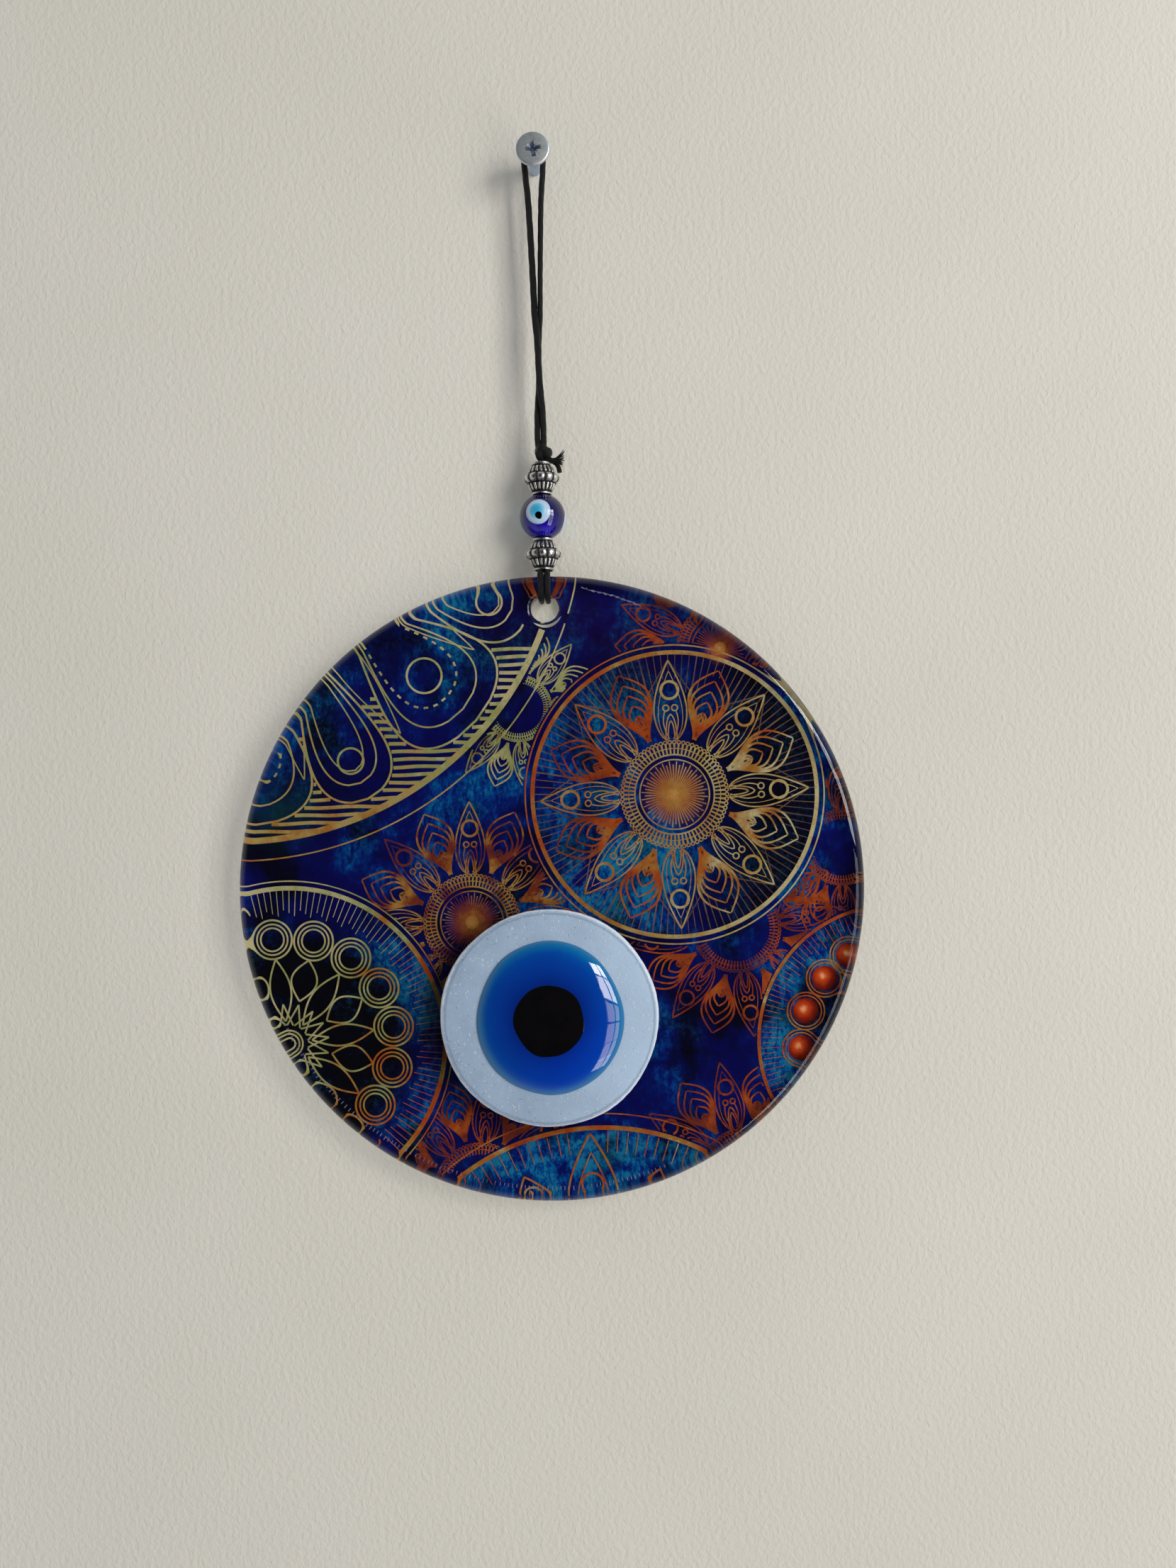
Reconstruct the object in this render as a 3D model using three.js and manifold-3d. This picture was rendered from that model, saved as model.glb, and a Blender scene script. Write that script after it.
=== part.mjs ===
// Evil eye ornament: a printed glass disc with a large fused-glass eye, hung by a
// doubled waxed cord that passes through three beads and loops over a wall screw.
//
// Millimetres, +Z up, +X to the viewer's right, front towards -Y. The origin is the
// point where the screw's axis meets the wall, which is the plane y = 0.

import * as THREE from 'three';
import { mergeVertices } from 'three/addons/utils/BufferGeometryUtils.js';
import Module from 'manifold-3d';

const wasm = await Module();
wasm.setup();

// ---------------------------------------------------------------- driving dimensions

const HANG_Y = -6;              // plane of the cord, the beads' axes and the disc's middle
const GAP = 0.3;                // space between pieces that touch or are cut by each other
const LAYER_GAP = 0.05;         // space between fused layers of glass

// screw: countersunk, cross recess
const HEAD_RADIUS = 4.0;
const HEAD_FRONT_Y = -10.5;
const HEAD_RIM = 0.6;           // height of the cylindrical edge of the head
const SHANK_RADIUS = 1.3;
const THREAD_RADIUS = 2.0;
const THREAD_CORE_RADIUS = 1.3;
const THREAD_PITCH = 2.7;
const THREAD_TURNS = 10;
const THREAD_START_Y = -1.2;

// cord
const CORD_DIAMETER = 1.3;
const CORD_RADIUS = CORD_DIAMETER / 2;
const CORD_SIDES = 8;
const BUNDLE_RADIUS = 1.42;     // four strands pressed together: between the lobes
const BUNDLE_LOBE = 0.2;        // and how far each strand stands out
const CROWN_RADIUS = SHANK_RADIUS + GAP + CORD_RADIUS;   // centreline of the turn over the screw
const PAIR_OFFSET = (CORD_DIAMETER + GAP) / 2;           // half the spacing of two strands in a pair

// Routes of the cord. The loop's left strand, from the screw down to the knot, as x, y from
// the hanging plane, and z: the strands meet 36 mm down and cross once below that. The right
// strand is the same route turned by half a turn about the hanging line.
const LOOP_STRAND = [
  [-2.25, 0, -0.3], [-2.15, 0, -3], [-1.9, 0, -6], [-1.6, 0, -9.5], [-1.42, 0, -13],
  [-1.25, 0, -17.5], [-1.08, 0, -22.5], [-0.92, 0, -27.5], [-0.8, 0, -32], [-0.71, 0, -36],
  [-0.62, -0.35, -38.5], [-0.4, -0.6, -41], [-0.2, -0.7, -44], [-0.05, -0.72, -48],
  [0.08, -0.72, -53], [0.3, -0.66, -56.5], [0.55, -0.46, -59.5], [0.69, -0.2, -62.5],
  [0.72, 0, -65.5], [0.72, 0, -68.4],
];

// One strand's way out of the lowest bead, down the front of the disc, through the top of
// the hole and up behind the disc into the bead again, as [y, z].
const BIGHT_STRAND = [
  [-6.75, -98.3], [-6.78, -99], [-7, -99.5], [-7.9, -99.9], [-8.55, -100.4], [-9.07, -101],
  [-9.47, -101.7], [-9.72, -102.5], [-9.8, -103.3], [-9.8, -104.15], [-9.69, -104.81],
  [-9.39, -105.41], [-8.91, -105.89], [-8.31, -106.19], [-7.65, -106.3], [-5.75, -106.33],
  [-3.85, -106.3], [-3.19, -106.19], [-2.59, -105.89], [-2.11, -105.41], [-1.81, -104.81],
  [-1.7, -104.15], [-1.71, -103.3], [-1.8, -102.6], [-2, -101.95], [-2.28, -101.35],
  [-2.62, -100.85], [-3.03, -100.4], [-3.5, -100.08], [-3.99, -99.92], [-4.7, -99.6],
  [-5.1, -99.25], [-5.22, -98.9], [-5.25, -98.3],
];

// The two ends of the cord beyond the knot, as x, y from the hanging plane, and z.
const TAILS = {
  cord_tail_frayed: [[3.15, -0.9, -72.2], [3.9, -1.2, -72.1], [4.8, -1.5, -71.7], [5.7, -1.8, -71.3]],
  cord_tail_short: [[2.9, -0.2, -73.1], [3.7, -0.1, -73.7], [4.2, 0, -74.7], [4.4, 0, -75.7]],
};

// knot and its two loose ends
const KNOT_TOP_Z = -68.7;
const KNOT_BOTTOM_Z = -73.2;
const KNOT_WIDTH = 4.7;
const KNOT_DEPTH = 4.2;
const KNOT_SHIFT_X = 0.5;

// beads
const STACK_TOP_Z = -73.4;
const STACK_GAP = 0.1;
const SPACER_HEIGHT = 7.7;
const SPACER_RADIUS = 4.35;
const BELT_LOBES = 12;
const BEAD_RADIUS = 5.5;
const BEAD_BORE_RADIUS = 1.95;
const BEAD_MOUTH_RADIUS = 2;    // the ball's flat ends are this far from its axis at their edge
const BEAD_EYE_HEADING = -10.6; // degrees from the front towards +X
const BEAD_EYE_LIFTS = [3.6, -12, 4];  // degrees above the bead's equator, for each eye
const BEAD_EYES = BEAD_EYE_LIFTS.length;

// disc
const DISC_RADIUS = 75;
const DISC_THICKNESS = 5.5;
const DISC_TOP_Z = -100.55;
const DISC_SEGMENTS = 72;
const FRONT_EDGE = 3;           // rounding of the disc's front edge
const BACK_EDGE = 1.3;          // the film is glued to the flat inside this
const HOLE_RADIUS = 3.3;
const HOLE_DROP = 8;            // centre of the cord hole below the top of the disc
const FRONT_LIP = 1.1;          // rounding of the hole's front edge
const BACK_LIP = 0.6;
const FILM_THICKNESS = 0.35;
const FILM_RADIUS = 73.7;
const FILM_HOLE_RADIUS = 4.2;
const FILM_SPACE = 0.15;        // the clear glue between the glass and the film

// large eye, fused to the front of the disc
const EYE_OFFSET_X = -1.2;
const EYE_OFFSET_Z = -30.4;
const EYE_WHITE_RADIUS = 25.85;
const EYE_WHITE_THICKNESS = 1.6;
const IRIS_RADIUS = 17.75;
const IRIS_HEIGHT = 3.6;
const PUPIL_RADIUS = 8.8;
const PUPIL_HEIGHT = 0.35;
const EYE_STEPS = 6;            // rings that the dome is turned in

// ---------------------------------------------------------------- derived places

const BEAD_HEIGHT = 2 * Math.sqrt(BEAD_RADIUS ** 2 - BEAD_MOUTH_RADIUS ** 2);
const STACK = stackHeights();
const DISC_CENTRE_Z = DISC_TOP_Z - DISC_RADIUS;
const DISC_FRONT_Y = HANG_Y - DISC_THICKNESS / 2;
const DISC_BACK_Y = HANG_Y + DISC_THICKNESS / 2;
const HOLE_Z = DISC_TOP_Z - HOLE_DROP;
const FILM_FRONT_Y = DISC_BACK_Y + FILM_SPACE;
const FILM_BACK_Y = FILM_FRONT_Y + FILM_THICKNESS;
const EYE_X = EYE_OFFSET_X;
const EYE_Z = DISC_CENTRE_Z + EYE_OFFSET_Z;

function stackHeights() {
  const upperBottom = STACK_TOP_Z - SPACER_HEIGHT;
  const beadTop = upperBottom - STACK_GAP;
  const beadBottom = beadTop - BEAD_HEIGHT;
  const lowerTop = beadBottom - STACK_GAP;
  return { beadTop, beadBottom, lowerTop, bottom: lowerTop - SPACER_HEIGHT };
}

// ---------------------------------------------------------------- materials

const materials = {
  zinc: metal(0xb9bdc2, 0.35),
  cord: plain(0x0b0a0a, 0.62),
  antiqueSilver: metal(0xa7a7a2, 0.32),
  cobaltGlass: plain(0x0b0678, 0.08),
  whiteGlass: plain(0xc9d7e6, 0.12),
  turquoiseGlass: plain(0x2f9fcb, 0.12),
  blackGlass: plain(0x050507, 0.06),
  clearGlass: plain(0xdfe9ea, 0.05),
  printedFilm: plain(0x14216b, 0.55),
  milkGlass: plain(0x8fa1b3, 0.14),
  irisGlass: plain(0x053f8e, 0.07),
};

function metal(color, roughness) {
  return new THREE.MeshStandardMaterial({ color, roughness, metalness: 1 });
}

function plain(color, roughness) {
  return new THREE.MeshStandardMaterial({ color, roughness, metalness: 0 });
}

// ---------------------------------------------------------------- shape helpers

// A solid turned about its own Y axis from [radius, height] points.
function turned(points, segments) {
  return new THREE.LatheGeometry(points.map(([r, h]) => new THREE.Vector2(r, h)), segments);
}

// The same, about a vertical axis through the hanging plane.
function turnedUpright(points, segments) {
  const geometry = turned(points, segments);
  geometry.rotateX(Math.PI / 2);
  geometry.translate(0, HANG_Y, 0);
  return geometry;
}

// Points of an arc as [a, b] pairs: centre, the two radii, and start and end angles in degrees.
function arc(centreA, centreB, radiusA, radiusB, from, to, steps) {
  const points = [];
  for (let i = 0; i <= steps; i += 1) {
    const angle = THREE.MathUtils.degToRad(from + ((to - from) * i) / steps);
    points.push([centreA + radiusA * Math.cos(angle), centreB + radiusB * Math.sin(angle)]);
  }
  return points;
}

// A round cord along a curve, with flat ends.
function cordAlong(curve, steps, radius = CORD_RADIUS) {
  const section = new THREE.Shape();
  for (let i = 0; i < CORD_SIDES; i += 1) {
    const angle = ((i + 0.5) / CORD_SIDES) * 2 * Math.PI;
    const [x, y] = [radius * Math.cos(angle), radius * Math.sin(angle)];
    if (i === 0) section.moveTo(x, y);
    else section.lineTo(x, y);
  }
  section.closePath();
  return new THREE.ExtrudeGeometry(section, { steps, extrudePath: curve, bevelEnabled: false });
}

function toManifold(geometry) {
  const bare = geometry.clone();
  bare.deleteAttribute('normal');
  bare.deleteAttribute('uv');
  const merged = mergeVertices(bare, 1e-4);
  const { array } = merged.getAttribute('position');
  const corners = [];
  const index = merged.getIndex().array;
  for (let i = 0; i < index.length; i += 3) {
    const [a, b, c] = [index[i], index[i + 1], index[i + 2]];
    if (a !== b && b !== c && c !== a) corners.push(a, b, c);
  }
  return new wasm.Manifold(new wasm.Mesh({
    numProp: 3,
    vertProperties: new Float32Array(array),
    triVerts: new Uint32Array(corners),
  }));
}

function fromManifold(solid) {
  const mesh = solid.getMesh();
  const geometry = new THREE.BufferGeometry();
  geometry.setAttribute('position', new THREE.BufferAttribute(mesh.vertProperties, 3));
  geometry.setIndex(new THREE.BufferAttribute(mesh.triVerts, 1));
  geometry.computeVertexNormals();
  return geometry;
}

function addPiece(parent, name, geometry, material) {
  const mesh = new THREE.Mesh(geometry, material);
  mesh.name = name;
  parent.add(mesh);
  return mesh;
}

// ---------------------------------------------------------------- screw

function screwProfile() {
  const coneStart = HEAD_FRONT_Y + 0.25 + HEAD_RIM;
  const points = [
    [0, HEAD_FRONT_Y],
    [HEAD_RADIUS - 0.3, HEAD_FRONT_Y],
    [HEAD_RADIUS, HEAD_FRONT_Y + 0.25],
    [HEAD_RADIUS, coneStart],
    [SHANK_RADIUS, coneStart + HEAD_RADIUS - SHANK_RADIUS],
    [SHANK_RADIUS, THREAD_START_Y],
  ];
  for (let turn = 0; turn < THREAD_TURNS; turn += 1) {
    const start = THREAD_START_Y + turn * THREAD_PITCH;
    points.push([THREAD_RADIUS, start + THREAD_PITCH * 0.5]);
    points.push([THREAD_CORE_RADIUS, start + THREAD_PITCH]);
  }
  points.push([0, THREAD_START_Y + THREAD_TURNS * THREAD_PITCH + 3]);
  return points;
}

// A star-ended slot through the head's centre: one wing pair of the cross recess.
function recessWing(length, width, depth, turnDegrees) {
  const wing = new THREE.BoxGeometry(length, depth * 2, width);
  wing.rotateY(THREE.MathUtils.degToRad(turnDegrees));
  wing.translate(0, HEAD_FRONT_Y, 0);
  return toManifold(wing);
}

function makeScrew(parent) {
  const crossTurn = 8;
  let solid = toManifold(turned(screwProfile(), 20));
  for (const quarter of [0, 90]) {
    solid = solid.subtract(recessWing(4.6, 1.0, 1.9, crossTurn + quarter));
    solid = solid.subtract(recessWing(3.9, 0.4, 0.6, crossTurn + 45 + quarter));
  }
  addPiece(parent, 'wall_screw', fromManifold(solid), materials.zinc);
}

// ---------------------------------------------------------------- cord

// A smooth cord through points given as x, y from the hanging plane, and z.
function cordThrough(points, steps, radius = CORD_RADIUS) {
  const places = points.map(([x, y, z]) => new THREE.Vector3(x, HANG_Y + y, z));
  return cordAlong(new THREE.CatmullRomCurve3(places, false, 'centripetal'), steps, radius);
}

function makeLoop(parent) {
  const crown = arc(0, 0, CROWN_RADIUS, CROWN_RADIUS, 0, 180, 8).map(([x, z]) => [x, 0, z]);
  addPiece(parent, 'loop_crown', cordThrough(crown, 12), materials.cord);

  for (const [name, side] of [['loop_strand_left', 1], ['loop_strand_right', -1]]) {
    const points = LOOP_STRAND.map(([x, y, z]) => [side * x, side * y, z]);
    addPiece(parent, name, cordThrough(points, 26), materials.cord);
  }
}

function makeKnot(parent) {
  const knot = new THREE.SphereGeometry(1, 18, 12);
  const height = KNOT_TOP_Z - KNOT_BOTTOM_Z;
  knot.rotateX(Math.PI / 2);
  knot.scale(KNOT_WIDTH / 2, KNOT_DEPTH / 2, height / 2);
  knot.translate(KNOT_SHIFT_X, HANG_Y, KNOT_TOP_Z - height / 2);
  addPiece(parent, 'cord_knot', knot, materials.cord);
}

function makeTails(parent) {
  for (const [name, points] of Object.entries(TAILS)) {
    addPiece(parent, name, cordThrough(points, 6, CORD_RADIUS * 0.8), materials.cord);
  }
}

// Four strands pressed together where they fill the beads' bores.
function makeBundle(parent) {
  const outline = [];
  const steps = 32;
  for (let i = 0; i < steps; i += 1) {
    const angle = (i / steps) * 2 * Math.PI;
    const radius = BUNDLE_RADIUS + BUNDLE_LOBE * Math.abs(Math.sin(2 * angle));
    outline.push(new THREE.Vector2(radius * Math.cos(angle), radius * Math.sin(angle)));
  }
  const top = STACK_TOP_Z - 0.1;
  const bottom = BIGHT_STRAND[0][1] + GAP;
  const bundle = new THREE.ExtrudeGeometry(new THREE.Shape(outline), {
    depth: top - bottom,
    steps: 1,
    bevelEnabled: false,
  });
  bundle.translate(0, HANG_Y, bottom);
  addPiece(parent, 'cord_bundle', bundle, materials.cord);
}

function makeBight(parent) {
  for (const [name, side] of [['cord_bight_left', -1], ['cord_bight_right', 1]]) {
    const points = BIGHT_STRAND.map(([y, z]) => [side * PAIR_OFFSET, y - HANG_Y, z]);
    addPiece(parent, name, cordThrough(points, 28), materials.cord);
  }
}

// ---------------------------------------------------------------- beads

// A collar, a cone and half of the lobed belt, mirrored below. The bore's mouths are flared.
function spacerGeometry(topZ) {
  const middle = topZ - SPACER_HEIGHT / 2;
  const half = SPACER_HEIGHT / 2;
  const flare = 0.5;
  const upper = [
    [BEAD_BORE_RADIUS, half - flare],
    [BEAD_BORE_RADIUS + 0.25, half],
    [2.35, half],
    [2.45, half - 0.35],
    [2.35, half - 0.7],
    [2.75, half - 1.1],
    [3.4, 0.95],
    [3.55, 0.8],
    [SPACER_RADIUS - 0.2, 0.55],
    [SPACER_RADIUS, 0.15],
  ];
  const lower = upper.map(([r, h]) => [r, -h]).reverse();
  const outline = [...upper, ...lower, upper[0]].reverse();
  const geometry = turned(outline, 3 * BELT_LOBES);
  const position = geometry.getAttribute('position');
  for (let i = 0; i < position.count; i += 1) {
    const [x, z] = [position.getX(i), position.getZ(i)];
    if (Math.hypot(x, z) > 3.7) {
      const lobe = 1 - 0.025 * (1 - Math.cos(BELT_LOBES * Math.atan2(x, z)));
      position.setX(i, x * lobe);
      position.setZ(i, z * lobe);
    }
  }
  geometry.rotateX(Math.PI / 2);
  geometry.translate(0, HANG_Y, middle);
  return geometry;
}

function beadGeometry() {
  const halfHeight = BEAD_HEIGHT / 2;
  const flat = THREE.MathUtils.radToDeg(Math.asin(halfHeight / BEAD_RADIUS));
  const chamfer = 0.3;
  const outline = [
    [BEAD_BORE_RADIUS, -halfHeight + chamfer],
    ...arc(0, 0, BEAD_RADIUS, BEAD_RADIUS, -flat, flat, 12),
    [BEAD_BORE_RADIUS, halfHeight - chamfer],
    [BEAD_BORE_RADIUS, -halfHeight + chamfer],
  ];
  const geometry = turnedUpright(outline, 28);
  geometry.translate(0, 0, STACK.beadBottom + halfHeight);
  return geometry;
}

// A thin cap of glass on the bead, turned about its own axis and facing outward.
function glassDot(innerRadius, outerRadius, spread) {
  const steps = 3;
  const inner = arc(0, 0, innerRadius, innerRadius, 90, 90 - spread, steps);
  const outer = arc(0, 0, outerRadius, outerRadius, 90 - spread, 90, steps);
  inner[0][0] = 0;
  outer[steps][0] = 0;
  return turned([...inner, ...outer], 16);
}

// Points the cap's axis from the bead's centre to one of the three eyes.
function placeOnBead(geometry, eye, headingOffset = 0, liftOffset = 0) {
  const heading = BEAD_EYE_HEADING + headingOffset + (eye * 360) / BEAD_EYES;
  const lift = BEAD_EYE_LIFTS[eye] + liftOffset;
  return geometry.rotateX(THREE.MathUtils.degToRad(lift))
    .rotateZ(THREE.MathUtils.degToRad(180 + heading))
    .translate(0, HANG_Y, STACK.beadBottom + BEAD_HEIGHT / 2);
}

function makeBeads(parent) {
  addPiece(parent, 'upper_spacer', spacerGeometry(STACK_TOP_Z), materials.antiqueSilver);
  addPiece(parent, 'eye_bead', beadGeometry(), materials.cobaltGlass);
  const layers = [
    ['bead_eye_white', 0.08, 0.2, 33, 0, 0, materials.whiteGlass],
    ['bead_eye_blue', 0.24, 0.32, 23, 0, 0, materials.turquoiseGlass],
    ['bead_pupil', 0.36, 0.44, 10.5, 2.4, -10.6, materials.blackGlass],
  ];
  for (let eye = 0; eye < BEAD_EYES; eye += 1) {
    for (const [name, inner, outer, spread, heading, lift, material] of layers) {
      const dot = glassDot(BEAD_RADIUS + inner, BEAD_RADIUS + outer, spread);
      placeOnBead(dot, eye, heading, lift);
      addPiece(parent, `${name}_${eye + 1}`, dot, material);
    }
  }
  addPiece(parent, 'lower_spacer', spacerGeometry(STACK.lowerTop), materials.antiqueSilver);
}

// ---------------------------------------------------------------- disc and large eye

function holeCutter() {
  const past = 2;
  return toManifold(turned([
    [0, DISC_FRONT_Y - past],
    [HOLE_RADIUS + FRONT_LIP, DISC_FRONT_Y - past],
    ...arc(HOLE_RADIUS + FRONT_LIP, DISC_FRONT_Y + FRONT_LIP, FRONT_LIP, FRONT_LIP, 270, 180, 5),
    ...arc(HOLE_RADIUS + BACK_LIP, DISC_BACK_Y - BACK_LIP, BACK_LIP, BACK_LIP, 180, 90, 3),
    [HOLE_RADIUS + BACK_LIP, DISC_BACK_Y + past],
    [0, DISC_BACK_Y + past],
  ], 40).translate(0, 0, HOLE_Z));
}

function makeDisc(parent) {
  const blank = turned([
    [0, DISC_FRONT_Y],
    ...arc(DISC_RADIUS - FRONT_EDGE, DISC_FRONT_Y + FRONT_EDGE, FRONT_EDGE, FRONT_EDGE, -90, 0, 6),
    ...arc(DISC_RADIUS - BACK_EDGE, DISC_BACK_Y - BACK_EDGE, BACK_EDGE, BACK_EDGE, 0, 90, 2),
    [0, DISC_BACK_Y],
  ], DISC_SEGMENTS).translate(0, 0, DISC_CENTRE_Z);
  const solid = toManifold(blank).subtract(holeCutter());
  addPiece(parent, 'glass_disc', fromManifold(solid), materials.clearGlass);
}

function makeFilm(parent) {
  const outline = new THREE.Shape().absarc(0, DISC_CENTRE_Z, FILM_RADIUS, 0, 2 * Math.PI);
  outline.holes.push(new THREE.Path().absarc(0, HOLE_Z, FILM_HOLE_RADIUS, 0, 2 * Math.PI, true));
  const film = new THREE.ExtrudeGeometry(outline, {
    depth: FILM_THICKNESS,
    bevelEnabled: false,
    curveSegments: DISC_SEGMENTS / 2,
  });
  film.rotateX(Math.PI / 2);
  film.translate(0, FILM_BACK_Y, 0);
  addPiece(parent, 'print_film', film, materials.printedFilm);
}

// Cap heights follow a parabola, so each layer can sit on the one below it.
function dome(radius, baseY, height, steps) {
  const points = [];
  for (let i = 0; i <= steps; i += 1) {
    const r = (radius * i) / steps;
    points.push([r, baseY - height * (1 - (r / radius) ** 2)]);
  }
  return points;
}

function makeEye(parent) {
  const whiteBack = DISC_FRONT_Y - LAYER_GAP;
  const whiteFront = whiteBack - EYE_WHITE_THICKNESS;
  const edge = EYE_WHITE_THICKNESS / 2;
  const white = turned([
    [0, whiteFront],
    ...arc(EYE_WHITE_RADIUS - edge, whiteBack - edge, edge, edge, -90, 90, 4),
    [0, whiteBack],
  ], 48);

  const irisBack = whiteFront - LAYER_GAP;
  const irisEdge = 0.35;
  const irisFront = irisBack - irisEdge;
  const iris = turned([
    ...dome(IRIS_RADIUS, irisFront, IRIS_HEIGHT - irisEdge, EYE_STEPS),
    [IRIS_RADIUS, irisBack],
    [0, irisBack],
  ], 40);

  const domeAt = (r) => irisFront - (IRIS_HEIGHT - irisEdge) * (1 - (r / IRIS_RADIUS) ** 2);
  const pupilFront = [];
  const pupilBack = [];
  const steps = 3;
  for (let i = 0; i <= steps; i += 1) {
    const r = (PUPIL_RADIUS * i) / steps;
    pupilFront.push([r, domeAt(r) - LAYER_GAP - PUPIL_HEIGHT * (1 - 0.7 * (i / steps) ** 2)]);
    pupilBack.unshift([r, domeAt(r) - LAYER_GAP]);
  }
  const pupil = turned([...pupilFront, ...pupilBack], 40);

  const layers = [
    ['eye_white', white, materials.milkGlass],
    ['eye_iris', iris, materials.irisGlass],
    ['eye_pupil', pupil, materials.blackGlass],
  ];
  for (const [name, geometry, material] of layers) {
    addPiece(parent, name, geometry.translate(EYE_X, 0, EYE_Z), material);
  }
}

// ---------------------------------------------------------------- assembly

const ornament = new THREE.Group();
makeScrew(ornament);
makeLoop(ornament);
makeKnot(ornament);
makeTails(ornament);
makeBundle(ornament);
makeBeads(ornament);
makeBight(ornament);
makeDisc(ornament);
makeFilm(ornament);
makeEye(ornament);

export default ornament;
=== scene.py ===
"""The looks of an evil eye ornament: a printed glass disc with a large fused-glass eye, hung
by a waxed cord with three beads from a wall screw.

The frame is in metres: +Z up, +X to the viewer's right, front towards -Y, and the origin where
the screw's axis meets the wall. Shapes are worked out in millimetres and made in metres.
"""

import math
import random

import bmesh
import bpy
from mathutils import Matrix, Vector, noise
from mathutils.geometry import tessellate_polygon


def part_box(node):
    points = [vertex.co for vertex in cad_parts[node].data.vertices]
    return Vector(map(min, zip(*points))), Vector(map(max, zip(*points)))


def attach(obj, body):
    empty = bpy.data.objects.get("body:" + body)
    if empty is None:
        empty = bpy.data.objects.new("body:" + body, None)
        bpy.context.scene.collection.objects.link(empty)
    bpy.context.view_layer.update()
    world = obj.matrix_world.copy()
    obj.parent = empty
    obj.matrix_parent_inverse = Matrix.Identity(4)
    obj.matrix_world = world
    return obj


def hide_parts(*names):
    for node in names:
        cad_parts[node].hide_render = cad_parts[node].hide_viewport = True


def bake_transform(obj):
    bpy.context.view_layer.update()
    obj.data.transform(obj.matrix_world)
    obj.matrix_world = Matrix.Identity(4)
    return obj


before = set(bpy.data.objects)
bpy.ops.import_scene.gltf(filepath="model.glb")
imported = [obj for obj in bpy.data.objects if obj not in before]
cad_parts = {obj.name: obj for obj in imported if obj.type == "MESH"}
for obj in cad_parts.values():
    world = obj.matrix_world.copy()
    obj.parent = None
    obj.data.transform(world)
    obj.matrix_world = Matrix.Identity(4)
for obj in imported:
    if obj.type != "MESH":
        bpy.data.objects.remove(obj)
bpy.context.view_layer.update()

MM = 0.001

# ------------------------------------------------------------------ driving dimensions, in mm

CROWN_RADIUS = 2.25         # centreline of the cord's turn over the screw
PAIR_OFFSET = 0.8           # half the spacing of two strands in a pair
PLY_PITCH = 13.0            # length of one turn of the cord's twist

FRONT_EDGE = 3.0            # rounding of the disc's front edge
BACK_EDGE = 1.3
HOLE_RADIUS = 3.3
HOLE_DROP = 8.0             # centre of the cord hole below the top of the disc
FRONT_LIP = 1.1             # rounding of the hole's front edge
BACK_LIP = 0.6
FILM_HOLE_RADIUS = 4.2

BEAD_EYE_HEADING = -10.6    # degrees from the front towards +X
BEAD_EYE_LIFTS = (3.6, -12.0, 4.0)      # degrees above the bead's equator, for each eye
BEAD_EYES = len(BEAD_EYE_LIFTS)
BEAD_PUPIL_SHIFT = (2.4, -10.6)         # degrees sideways and upwards in its eye
BORE_RADIUS = 1.95

# ------------------------------------------------------------------ places, from the frame


def node_box(node):
    """Lowest and highest corner of a CAD node, in mm."""
    low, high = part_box(node)
    return Vector(low) / MM, Vector(high) / MM


disc_low, disc_high = node_box("glass_disc")
DISC_RADIUS = (disc_high.x - disc_low.x) / 2
DISC_CENTRE = (disc_low + disc_high) / 2
DISC_FRONT = disc_low.y
DISC_BACK = disc_high.y
HANG_Y = DISC_CENTRE.y
HOLE_Z = disc_high.z - HOLE_DROP
film_low, film_high = node_box("print_film")
FILM_RADIUS = (film_high.x - film_low.x) / 2
FILM_FRONT = film_low.y
FILM_BACK = film_high.y
white_low, white_high = node_box("eye_white")
EYE_CENTRE = (white_low + white_high) / 2
WHITE_RADIUS = (white_high.x - white_low.x) / 2

# ------------------------------------------------------------------ camera

CAMERA_PLACE = (9.28, -287.0, -150.7)
CAMERA_ROLL = 1.46          # degrees
CAMERA_LENS = 26.85
SENSOR_SIZE = 36.0


def make_camera():
    data = bpy.data.cameras.new("camera")
    data.lens = CAMERA_LENS
    data.sensor_width = SENSOR_SIZE
    data.clip_start = 0.01
    camera = bpy.data.objects.new("camera", data)
    roll = math.radians(CAMERA_ROLL)
    cos, sin = math.cos(roll), math.sin(roll)
    facing = Matrix(((cos, sin, 0), (0, 0, -1), (-sin, cos, 0)))
    camera.matrix_world = Matrix.Translation(Vector(CAMERA_PLACE) * MM) @ facing.to_4x4()
    bpy.context.scene.collection.objects.link(camera)
    bpy.context.scene.camera = camera


# ------------------------------------------------------------------ mesh helpers


def new_mesh(name, vertices, faces, material=None, smooth=True):
    """A solid from vertices in mm, at its real place, with its faces turned outwards."""
    mesh = bpy.data.meshes.new(name)
    mesh.from_pydata([Vector(v) * MM for v in vertices], [], faces)
    solid = bmesh.new()
    solid.from_mesh(mesh)
    bmesh.ops.recalc_face_normals(solid, faces=solid.faces)
    solid.to_mesh(mesh)
    solid.free()
    if smooth:
        mesh.shade_smooth()
    else:
        mesh.shade_flat()
    piece = bpy.data.objects.new(name, mesh)
    bpy.context.scene.collection.objects.link(piece)
    if material:
        mesh.materials.append(material)
    return piece


def place(piece, body, replaced=()):
    """Hangs a finished piece on its body and hides the CAD nodes it stands for."""
    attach(piece, body)
    if replaced:
        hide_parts(*replaced)
    return piece


def point_values(piece, name, values):
    attribute = piece.data.attributes.new(name, "FLOAT", "POINT")
    attribute.data.foreach_set("value", values)


def point_vectors(piece, name, vectors):
    attribute = piece.data.attributes.new(name, "FLOAT_VECTOR", "POINT")
    attribute.data.foreach_set("vector", [x for vector in vectors for x in vector])


def turn_angles(count):
    """Evenly spread angles round a full turn."""
    return [2 * math.pi * k / count for k in range(count)]


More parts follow.
